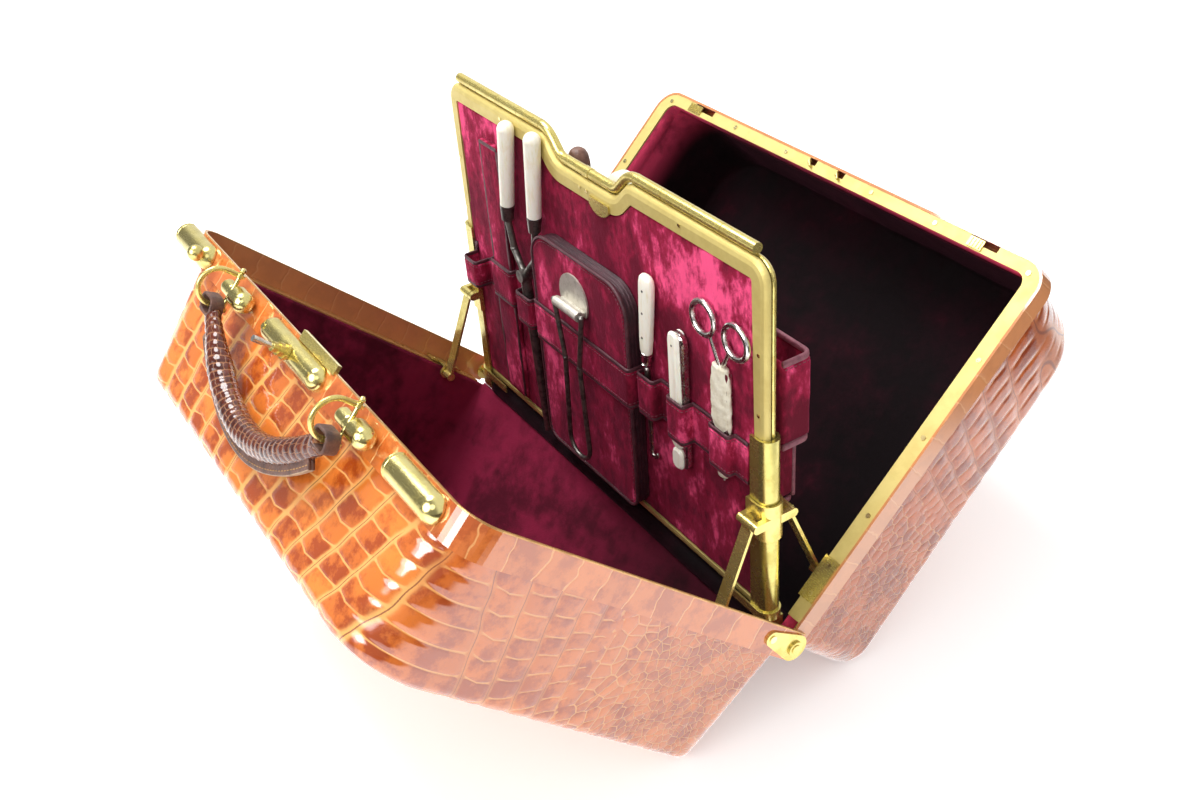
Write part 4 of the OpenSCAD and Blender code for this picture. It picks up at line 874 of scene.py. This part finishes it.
def handle():
    stations, sides = 130, 34
    verts, field = [], []
    length, last = 0.0, grip_mid(0)
    for k in range(stations + 1):
        (cx, cs), (tx, ts), wide, thick = grip_frame(k / stations)
        length += hypot(cx - last[0], cs - last[1])
        last = (cx, cs)
        sway = 0.2 * uneven(length * 0.05, 0, 0)
        for i, a in enumerate(turn(sides)):
            a += pi
            lump = 1 + 0.025 * uneven(length * 0.12, cos(a), sin(a))
            q = wide * lump * cos(a)
            verts.append(swung_at(cx - q * ts, thick * lump * sin(a), cs + q * tx))
            field.append((length / 5.6 + 0.2 * sin(a * 2 + length * 0.05) + 20, 9 * i / sides + sway + 9, 0.3))
    faces = ring_faces(sides, stations + 1) + [lid(sides, 0, True), lid(sides, stations * sides)]
    o = piece("handle_roll", verts, faces, "grip_scales", "handle", ("handle_grip",), field)
    emboss(o)
    applied(o)

    across = (swung_at(0, 1, 0) - swung_at(0, 0, 0)).normalized()
    rows = []
    for k in range(1, 76):
        (cx, cs), (tx, ts), wide, _ = grip_frame(0.03 + 0.94 * k / 76)
        ox, os_ = (ts, -tx) if tx < 0 else (-ts, tx)
        rows.append((cx, cs, ox, os_, wide))

    def beside(out, side):
        return [swung_at(cx + ox * (wide + out), side, cs + os_ * (wide + out)) for cx, cs, ox, os_, wide in rows]
    edge, rim, thread = Parts(), Parts(), Parts()
    for side in (-1, 1):
        waved = [p + across * (0.25 * MM * noise.noise(p * 60)) for p in beside(2.0, side * 1.1)]
        edge.sweep(waved, rounded(6.6, 2.1, 0.8, 3), across)
        rim.sweep(beside(5.1, side * 1.1), rounded(0.8, 1.7, 0.3, 2), across)
        thread.stitches(beside(2.6, side * 2.15), across * side, step=3.4, length=2.4, thick=0.7, lift=0.1)
    edge.done("handle_edge", "edge_hide", "handle", "handle_binding", ("handle_flange",))
    rim.done("handle_cut_edge", "cut_edge", "handle", "handle_binding")
    thread.done("handle_thread", "tan_thread", "handle", "handle_binding")

    wraps = Parts()
    for x0 in (-90, 90):
        corners = [(-7.7, 6.5), (7.7, 6.5), (7.7, 17.9), (-7.7, 17.9)]
        flat = spaced(fillet(corners, 4.5, closed=True), 2.0)
        path = [swung_at(x0 + a, 0.2 * sin(3 * k), b) for k, (a, b) in enumerate(flat)]
        shape = [(u * (1 - 0.25 * (abs(v) / 4.6) ** 2), v) for u, v in rounded(2.4, 9.2, 1.1, 4)]
        wraps.sweep(path, shape, across, loop=True)
    wraps.done("handle_wraps", "edge_hide", "handle", "handle_binding", ("handle_loops",))


# The panel's fittings
STRAP_T, BAND_Z, BAND_TOP, FIT_X = 1.6, 106.0, 135.0, 165.0
# For each tool under the strap: its middle, half width and height, and how far the strap's top edge drops over it
HELD = [(-155.5, 7.8, 12, -8), (-118, 13.4, 5.4, 0), (-78.4, 9, 10.4, -6), (-1, 57.4, 11.4, 0),
    (69.5, 7.6, 7.2, 0), (103, 7.4, 8.4, 0), (143, 8.5, 5.2, 0)]


def bound(name, trim, thread, finish="binding"):
    """Makes the bindings and the stitches of one of the panel's fittings."""
    trim.done(name + "_binding", finish, "panel", "sheath_leather")
    thread.done(name + "_thread", "thread", "panel", "sheath_leather")


def strap_path():
    """Plan of the strap over everything that it holds, with how far its top edge drops at each point."""
    pts, drops = [(-FIT_X, 0.85)], [0.0]
    m = STRAP_T / 2
    for x, hw, h, drop in HELD:
        a = hw + m
        pts += [(x - a - 0.8, m), (x - a, m + 0.9), (x - a, h + m)]
        pts += [(x + a, h + m), (x + a, m + 0.9), (x + a + 0.8, m)]
        drops += [drop] * 6
    pts.append((FIT_X, 0.85))
    drops.append(0.0)
    out, out_d = [Vector(pts[0])], [drops[0]]
    for k in range(1, len(pts) - 1):
        p, a, b = Vector(pts[k]), Vector(pts[k - 1]), Vector(pts[k + 1])
        t = min(2.6, (a - p).length * 0.45, (b - p).length * 0.45)
        out += bend(p + (a - p).normalized() * t, p, p + (b - p).normalized() * t, 4)
        out_d += [drops[k]] * 5
    out.append(Vector(pts[-1]))
    out_d.append(drops[-1])
    fine, fine_d = [out[0]], [out_d[0]]
    for a, b, da, db in zip(out, out[1:], out_d, out_d[1:]):
        k = max(int((b - a).length / 3.0), 1)
        for i in range(1, k + 1):
            fine.append(a.lerp(b, i / k))
            fine_d.append(da + (db - da) * i / k)
    return fine, fine_d


def straps():
    """The velvet band over the tools, with its bindings and stitches."""
    path, drops = strap_path()
    rings, normals, rows = [], [], 7
    for k, p in enumerate(path):
        d = (path[min(k + 1, len(path) - 1)] - path[max(k - 1, 0)]).normalized()
        nrm = Vector((-d.y, d.x))
        normals.append(nrm)
        ring = []
        for side in (1, -1):
            for i in range(rows + 1)[::side]:
                f = i / rows
                z = BAND_Z + (BAND_TOP + drops[k] - BAND_Z) * f
                bulge = 0.10 * sin(pi * f) + 0.12 * uneven(p.x * 0.15, z * 0.12, 2.0)
                off = side * STRAP_T / 2 * 0.9 + (bulge if side > 0 else 0)
                ring.append(board_at(p.x + nrm.x * off, p.y + nrm.y * off, z))
        rings.append(ring)
    tube(rings, "strap_band", "board_velvet", "panel", "crimson_velvet", ("front_straps",))
    trim, thread = Parts(), Parts()
    outs = [(board_at(p.x + n.x, p.y + n.y, 0) - board_at(p.x, p.y, 0)).normalized()
        for p, n in zip(path, normals)]
    for low, inset in ((True, 4.2), (False, -2.9)):
        line = [board_at(p.x, p.y, BAND_Z + 1.7 if low else BAND_TOP + d - 0.3) for p, d in zip(path, drops)]
        trim.sweep(line, rounded(1.6, 3.0, 0.7, 3), UP)
        row = [board_at(p.x + n.x * 0.85, p.y + n.y * 0.85, (BAND_Z if low else BAND_TOP + d) + inset)
            for p, d, n in zip(path, drops, normals)]
        thread.stitches(row, outs, step=2.9, length=1.9, thick=0.5)
    bound("strap", trim, thread)


def pouch():
    """The large pouch: folded sides, a padded front with a bound edge, and a row of stitches."""
    x0, x1, z0, z1, top, low = -58.0, 56.0, 22.3, 190.0, 20, 10
    plan = arc(x1 - low, z0 + low, low, 270, 10) + arc(x1 - top, z1 - top, top, 0, 10)
    plan += arc(x0 + top, z1 - top, top, 90, 10) + arc(x0 + low, z0 + low, low, 180, 10)
    around = [tuple(p) for p in spaced(plan + plan[:1], 3.0)[:-1]]
    mx, mz = (x0 + x1) / 2, (z0 + z1) / 2

    def shrunk(inset):
        sx, sz = 1 - 2 * inset / (x1 - x0), 1 - 2 * inset / (z1 - z0)
        return [(mx + (x - mx) * sx, mz + (z - mz) * sz) for x, z in around]

    def ring(inset, y):
        return [board_at(x, y, z) for x, z in shrunk(inset)]
    rings, folds = [ring(0.6, 0.25), ring(0.2, 1.2)], 3
    for i in range(1, 4 * folds):
        f = i / (4 * folds)
        rings.append(ring(0.9 + 0.9 * sin(2 * pi * folds * f), 1.2 + 7.6 * f))
    rings += [ring(0.3, 9.2), ring(3.0, 9.6)]
    tube(rings, "pouch_gusset", "sheath", "panel", "crimson_velvet", ("front_pouch",))
    front = [ring(0.8, 9.3), ring(0.3, 9.8), ring(0.5, 10.5)]
    for f in (i / 22 for i in range(1, 22)):
        crown = 0.5 * smooth01(f * 4)
        front.append([board_at(x, min(10.45 + crown + 0.25 * uneven(x * 0.06, z * 0.05, 3.3), 10.85), z)
            for x, z in shrunk(0.5 + 55.0 * f)])
    tube(front, "pouch_front", "board_velvet", "panel", "crimson_velvet")
    trim, thread = Parts(), Parts()
    trim.sweep(ring(0.1, 10.1), rounded(2.3, 2.5, 1.0, 3), BACK, loop=True)
    row = ring(2.5, 10.85)
    thread.stitches(row + row[:1], -BACK, step=2.9, length=1.9, thick=0.5)
    bound("pouch", trim, thread)


def pocket_trim():
    """The pocket on the panel's rear side, with its bindings and stitches."""
    dressed("rear_pocket", "pocket_cloth", "board_velvet", 1.8, 0.3, 0.08)
    deep = 25.4
    trim, thread = Parts(), Parts()

    def around(x, z, low_y, off):
        flat = fillet([(x + off, low_y), (x + off, deep + off), (-x - off, deep + off), (-x - off, low_y)], 5.5)
        return [behind_at(p.x, p.y, z) for p in spaced(flat, 4.0)]
    for x, z, low_y, above in ((178, 189.5, 5.0, -3.2), (178, 132.8, 5.0, 3.2), (164.4, 79.5, 0.6, 3.2)):
        trim.sweep(around(x, z, low_y, -1.0), rounded(2.8, 4.0, 1.2, 3), UP)
        row = around(x, z + above, low_y, 0.15)
        at_side = [abs(p.x) > (x - 6) * MM and p.y < (deep - 3) * MM for p in row]
        outs = [Vector((1 if p.x > 0 else -1, 0, 0)) if s else BACK for p, s in zip(row, at_side)]
        thread.stitches(row, outs, step=3.1, length=2.1, thick=0.55)
    for s in (-1, 1):
        path = [behind_at(s * 163.6, deep - 1.0, 82 + 2.0 * i) for i in range(25)]
        trim.sweep(path, rounded(3.0, 3.0, 1.2, 3), BACK)
    bound("pocket", trim, thread, "pink_binding")


def sheath_sleeve():
    """Slim sleeve at the left of the panel: flat folded leather with bound edges."""
    x, hw, t, z0, z1 = -118.0, 13.0, 5.0, 26.0, 229.0
    rings = []
    for k in range(42):
        z = z0 + (z1 - z0) * k / 41
        sag = 0.35 * uneven(z * 0.05, 1.0, 2.0)
        rings.append([board_at(x + a, 0.15 + t / 2 + b + (sag if b > 0 else 0), z)
            for a, b in rounded(2 * hw - 0.4, t - 0.5, 1.8, 4)])
    tube(rings, "sheath_sleeve", "board_velvet", "sheath_body", "sheath_leather", ("sheath",))
    trim = Parts()
    for s in (-1, 1):
        edge = [board_at(x + s * (hw - 1.4), t - 0.7, z0 + 1 + 5 * i) for i in range(41)]
        trim.sweep(edge, rounded(2.8, 1.2, 0.5, 3), BACK)
    mouth = [board_at(x - hw + 1 + i, t - 0.5, z1 - 1.2) for i in range(25)]
    trim.sweep(mouth, rounded(1.2, 2.6, 0.5, 3), UP)
    trim.done("sheath_binding", "binding", "sheath_body", "sheath_leather")


def scissors_sleeve():
    """Crumpled pale wrapping round the scissors below their finger rings."""
    x, y, z0, z1 = 143.0, 2.8, 101.0, 179.0
    rings = []
    for k in range(60):
        f = k / 59
        z = z0 + (z1 - z0) * f
        free = smooth01((z - 135) / 6)
        hw = 7.9 + 1.1 * free - 2.2 * smooth01((f - 0.86) / 0.14) - 3.6 * smooth01((0.17 - f) / 0.17)
        half = 2.3 + 0.6 * free
        ring = []
        for a in turn(32):
            crumple = uneven(cos(a) * 2.2, sin(a) * 2.2, z * 0.22)
            crumple += 0.5 * uneven(cos(a) * 5, sin(a) * 5, z * 0.5)
            crumple *= 0.15 + 0.6 * free
            ring.append(board_at(x + (hw + crumple) * cos(a), y + 0.4 * free + (half + 0.6 * crumple) * sin(a), z))
        rings.append(ring)
    tube(rings, "scissors_wrap", "wrap", "scissors_body", "ivory")


def knife_parts():
    """Pen knife: an ivory side, nickel liner and bolsters, and the back scale."""
    x, w, z, l, deep = 103.0, 14.0, 83.0, 100.0, 8.0

    def slab(x0, x1, z0, z1, y0, y1, r, ease=0.5):
        mx, mz = (x0 + x1) / 2, (z0 + z1) / 2
        plan = rounded(x1 - x0, z1 - z0, r, 8)
        rings = []
        for y, cut in ((y0, ease), (y0 + ease, 0.0), (y1 - ease, 0.0), (y1, ease)):
            k = (x1 - x0 - 2 * cut) / (x1 - x0), (z1 - z0 - 2 * cut) / (z1 - z0)
            rings.append([board_at(mx + a * k[0], y, mz + b * k[1]) for a, b in plan])
        return rings
    ivory, nickel, pins = Parts(), Parts(), Parts()
    ivory.rings(slab(x - w / 2, x + w / 2 - 3.2, z + 16, z + l, 4.6, deep, 5, 1.3))
    ivory.rings(slab(x - w / 2, x + w / 2 - 3.2, z, z + 15.2, 4.6, deep, 4.5, 1.3))
    ivory.rings(slab(x - w / 2 + 0.6, x + w / 2 - 3.6, z + 0.5, z + l - 0.5, 0.3, 2.2, 5, 0.8))
    nickel.rings(slab(x - w / 2 + 0.6, x + w / 2 - 1.6, z + 0.6, z + l - 0.6, 2.1, 4.7, 5, 0.3))
    nickel.rings(slab(x - w / 2 + 2.6, x + w / 2, z + 1.2, z + l - 1.2, 1.4, 6.2, 5, 0.9))
    for up in (22.0, l - 9):
        pins.rings([[board_at(x - 1.8 + u, y, z + up + v) for u, v in circle(0.75, 8)]
            for y in (deep - 0.4, deep + 0.15)])
    ivory.done("knife_scales", "ivory", "knife_body", "ivory", ("knife",), 40)
    nickel.done("knife_liner", "bright_steel", "knife_body", "ivory", (), 40)
    pins.done("knife_pins", "dark_steel", "knife_body", "ivory", (), 40)


def hook_parts():
    """Button hook: a tapering ivory handle with dark pins, a nickel ferrule and a steel shaft with its hook."""
    x, y, foot = 68.0, 4.4, 150.0
    lean = radians(5)

    def at(a, b, c):
        return board_at(x + a * cos(lean) + c * sin(lean), y + b, foot - a * sin(lean) + c * cos(lean))

    def bar(heights, shape):
        return [[at(u * sx, v * sy, c) for u, v in shape] for c, sx, sy in heights]
    grip, ring, pins = Parts(), Parts(), Parts()
    oval = rounded(2, 2, 0.75, 5)
    grip.rings(bar([(1.5, 3.9, 2.6), (3, 4.6, 2.9), (12, 5.3, 3.2), (30, 5.9, 3.3), (44, 6.4, 3.3),
        (52, 6.5, 3.2), (55.5, 5.9, 2.9), (57.5, 4.4, 2.2), (58.2, 2.2, 1.2)], oval))
    for c in (14, 32, 48):
        pins.rings([[at(u, 2.9 + h, c + v) for u, v in circle(0.8, 8)] for h in (0, 0.6)])
    ring.rings(bar([(-9, 2.2, 2.2), (-8, 3.1, 3.1), (-6.4, 3.3, 3.3), (-6, 2.6, 2.6), (-4.6, 2.6, 2.6),
        (-4.2, 3.5, 3.4), (-1, 3.7, 3.5), (1.8, 4.2, 3.2), (2.2, 3.6, 2.6)], circle(1, 20)))
    path = [board_at(x + (0.35 if k else 0), y, 141.5 - 3.4 * k) for k in range(20)]
    for a in (radians(12 * k) for k in range(1, 17)):
        path.append(board_at(x + 3.6 - 3.3 * cos(a), y, 77 - 3.3 * sin(a)))
    n = len(path)
    rings = []
    for k, p in enumerate(path):
        along = (path[min(k + 1, n - 1)] - path[max(k - 1, 0)]).normalized()
        out = BACK.cross(along).normalized()
        r = 2.0 - 0.5 * smooth01(k / 20) if k < n - 3 else 1.5 - 0.28 * (k - n + 4)
        rings.append([p + (out * u + BACK * v) * (r * MM) for u, v in circle(1, 14)])
    grip.done("hook_handle", "ivory", "hook", "ivory", ("button_hook",), 50)
    ring.done("hook_ferrule", "bright_steel", "hook", "ivory", (), 40)
    tube(rings, "hook_shaft", "hook_steel", "hook", "ivory")
    pins.done("hook_pins", "dark_steel", "hook", "ivory", (), 40)


def case_parts():
    """Slim tortoiseshell case behind the panel, with its cap's joint line."""
    heights = ((81, 0.55), (82, 0.8), (84, 0.96), (87, 1), (150, 1), (196, 1), (196.4, 0.93), (197.2, 0.93),
        (197.6, 1.02), (225, 1), (236, 0.97), (241, 0.86), (244, 0.66), (245.5, 0.4))
    tube([[behind_at(-37 + 8 * k * u, 10.4 + 7.8 * k * v, z) for u, v in circle(1, 26)] for z, k in heights],
        "stick_case_shell", "case_hide", "case_body", "brown_leather", ("stick_case",), 40)


# The stage
photo_camera()
white_world()
lamp("key", (0.9, -0.7, 1.3), 0.8, 3.0)
lamp("fill", (-0.6, -0.2, 1.5), 0.8, 22)
lamp("front", (0.25, -1.5, 0.9), 0.7, 7)

# Colours of a hide: top and deep tones of the scales, and the grooves
mats["scales"] = hide_material("crocodile_scales", ((0.84, 0.235, 0.036), (0.38, 0.062, 0.009), (0.86, 0.42, 0.12)))
# The rear hide is a darker, less glossy copy of the same scales: painted shade on the rear half.
mats["shaded_rear_scales"] = hide_material("shaded_rear_crocodile",
    ((0.66, 0.155, 0.030), (0.27, 0.040, 0.008), (0.70, 0.30, 0.10)), coat=1.45)
mats["grip_scales"] = hide_material("grip_scales",
    ((0.135, 0.024, 0.009), (0.055, 0.008, 0.004), (0.28, 0.12, 0.055)), 0.0005, 1.5)
mats["front_strip"] = rim_material("rim_strip_front", 1)
mats["rear_strip"] = rim_material("rim_strip_rear", -1)
for key, side in (("front_well", 1), ("rear_well", -1), ("well_velvet", 0)):
    mats[key] = velvet_material(key + "_velvet", ((0.003, 0.0008, 0.0015), (0.011, 0.0011, 0.0035),
        (0.058, 0.003, 0.012)), 0.013, (1, 1, 1), 0.6, 0.07, (0.9, 0.25, 0.42), (0.42, 0.6, 0.56, 0.74), side)
# The board's three given places: two of painted sheen (brighter) and one of painted shade (darker).
mats["board_velvet"] = velvet_material("crimson_crushed_velvet", ((0.11, 0.004, 0.016), (0.27, 0.010, 0.040),
    (0.92, 0.095, 0.25)), 0.024, (1.35, 1.35, 0.75), 1.0, 0.35, (0.85, 0.12, 0.28), (0.44, 0.55, 0.54, 0.66),
    painted_light_patches=(((118, -8, HINGE_Z + 214), 58, 0.14), ((-165, -8, HINGE_Z + 255), 80, 0.15),
    ((30, -8, HINGE_Z + 215), 40, -0.05)))
mats["ivory"] = ivory_material()
# Light and dark colour, roughness, and how metallic it is
BRASS = (
    ("brass", "yellow_brass", (0.70, 0.585, 0.20), (0.58, 0.46, 0.13), 0.2, 0.8),
    ("rim_brass", "olive_brass", (0.76, 0.66, 0.27), (0.60, 0.51, 0.18), 0.17),
    ("satin_brass", "satin_brass", (0.64, 0.52, 0.18), (0.58, 0.46, 0.15), 0.45, 0.4),
    ("post_brass", "post_brass", (0.54, 0.48, 0.16), (0.46, 0.39, 0.11), 0.2, 0.85),
    ("edge_gold", "edge_gold", (0.62, 0.36, 0.13), (0.46, 0.24, 0.08), 0.25, 0.4),
    ("screw_brass", "screw_brass", (0.82, 0.72, 0.36), (0.62, 0.52, 0.22), 0.22))
STEEL = (
    ("hook_steel", "hook_steel", (0.34, 0.32, 0.30), (0.14, 0.13, 0.12), 0.25),
    ("dark_steel", "tarnished_steel", (0.22, 0.21, 0.19), (0.10, 0.09, 0.085), 0.34, 0.9),
    ("bright_steel", "worn_nickel", (0.72, 0.71, 0.68), (0.52, 0.50, 0.46), 0.16),
    ("satin_nickel", "satin_nickel", (0.70, 0.67, 0.60), (0.50, 0.47, 0.40), 0.4, 0.75))
# Light and dark colour, roughness, and how fine its pores are
LEATHER = (
    ("binding", "plum_binding", (0.085, 0.022, 0.032), (0.04, 0.010, 0.016), 0.42),
    ("pink_binding", "worn_binding", (0.24, 0.075, 0.10), (0.13, 0.03, 0.05), 0.5),
    ("thread", "plum_thread", (0.20, 0.06, 0.08), (0.10, 0.03, 0.04), 0.6, 4.0),
    ("tan_thread", "tan_thread", (0.52, 0.30, 0.12), (0.34, 0.18, 0.07), 0.6, 4.0),
    ("sheath", "sheath_hide", (0.06, 0.012, 0.022), (0.03, 0.006, 0.012), 0.4),
    ("edge_hide", "handle_edge", (0.15, 0.065, 0.042), (0.055, 0.024, 0.020), 0.42),
    ("cut_edge", "pale_cut_edge", (0.50, 0.36, 0.24), (0.30, 0.19, 0.12), 0.6),
    ("case_hide", "case_hide", (0.20, 0.095, 0.065), (0.08, 0.03, 0.02), 0.3),
    ("wrap", "pale_wrap", (0.80, 0.76, 0.62), (0.62, 0.56, 0.42), 0.5, 0.5))
for make, looks in ((brass_material, BRASS), (steel_material, STEEL), (leather_material, LEATHER)):
    for key, *look in looks:
        mats[key] = make(*look)

mesh = bpy.data.meshes.new("floor")
mesh.from_pydata([(x, y, -0.0005) for x, y in ((-6, -6), (6, -6), (6, 6), (-6, 6))], [], [(0, 1, 2, 3)])
mesh.materials.append(floor_material())
floor = linked("floor", mesh)

# The finish of each slot that has another name than its finish, and of the nodes that differ from their slot
FINISH = {"crocodile_leather": "scales", "crocodile_rim": "front_strip", "handle_leather": "scales",
    "handle_binding": "edge_hide", "polished_brass": "brass", "brass_screws": "screw_brass",
    "dark_velvet": "well_velvet", "crimson_velvet": "board_velvet", "sheath_leather": "sheath",
    "brown_leather": "case_hide"}
OWN_FINISH = {"rear_rim": "rear_strip", "rear_frame": "satin_brass", "front_frame": "edge_gold",
    "front_leaf_frame": "satin_brass", "loop_plate": "satin_nickel", "handle_bosses": "rim_brass",
    "lock_cover": "rim_brass", "catch_left": "rim_brass", "catch_right": "rim_brass", "posts": "post_brass"}
for name, o in nodes.items():
    slot = slot_of[name]
    finish = OWN_FINISH.get(name, FINISH.get(slot, slot))
    for holder in o.material_slots:
        holder.material = mats[finish]

hide_shell("front_hide", front_at, 1, "front_half", "front_shell")
hide_shell("rear_hide", rear_at, -1, "rear_half", "rear_shell")
lining("front_velvet", front_at, "front_half", "front_lining", 9.0, None)
lining("rear_velvet", rear_at, "rear_half", "rear_lining", 10.5, (186.1, 265.2, 8.0, -2.0, 8.5))
for node in ("front_board", "rear_board"):
    dressed(node, node + "_cloth", "board_velvet")
hinge_gusset()
handle()
straps()
pouch()
pocket_trim()
sheath_sleeve()
scissors_sleeve()
knife_parts()
hook_parts()
case_parts()

bpy.context.scene.view_settings.view_transform = "Standard"
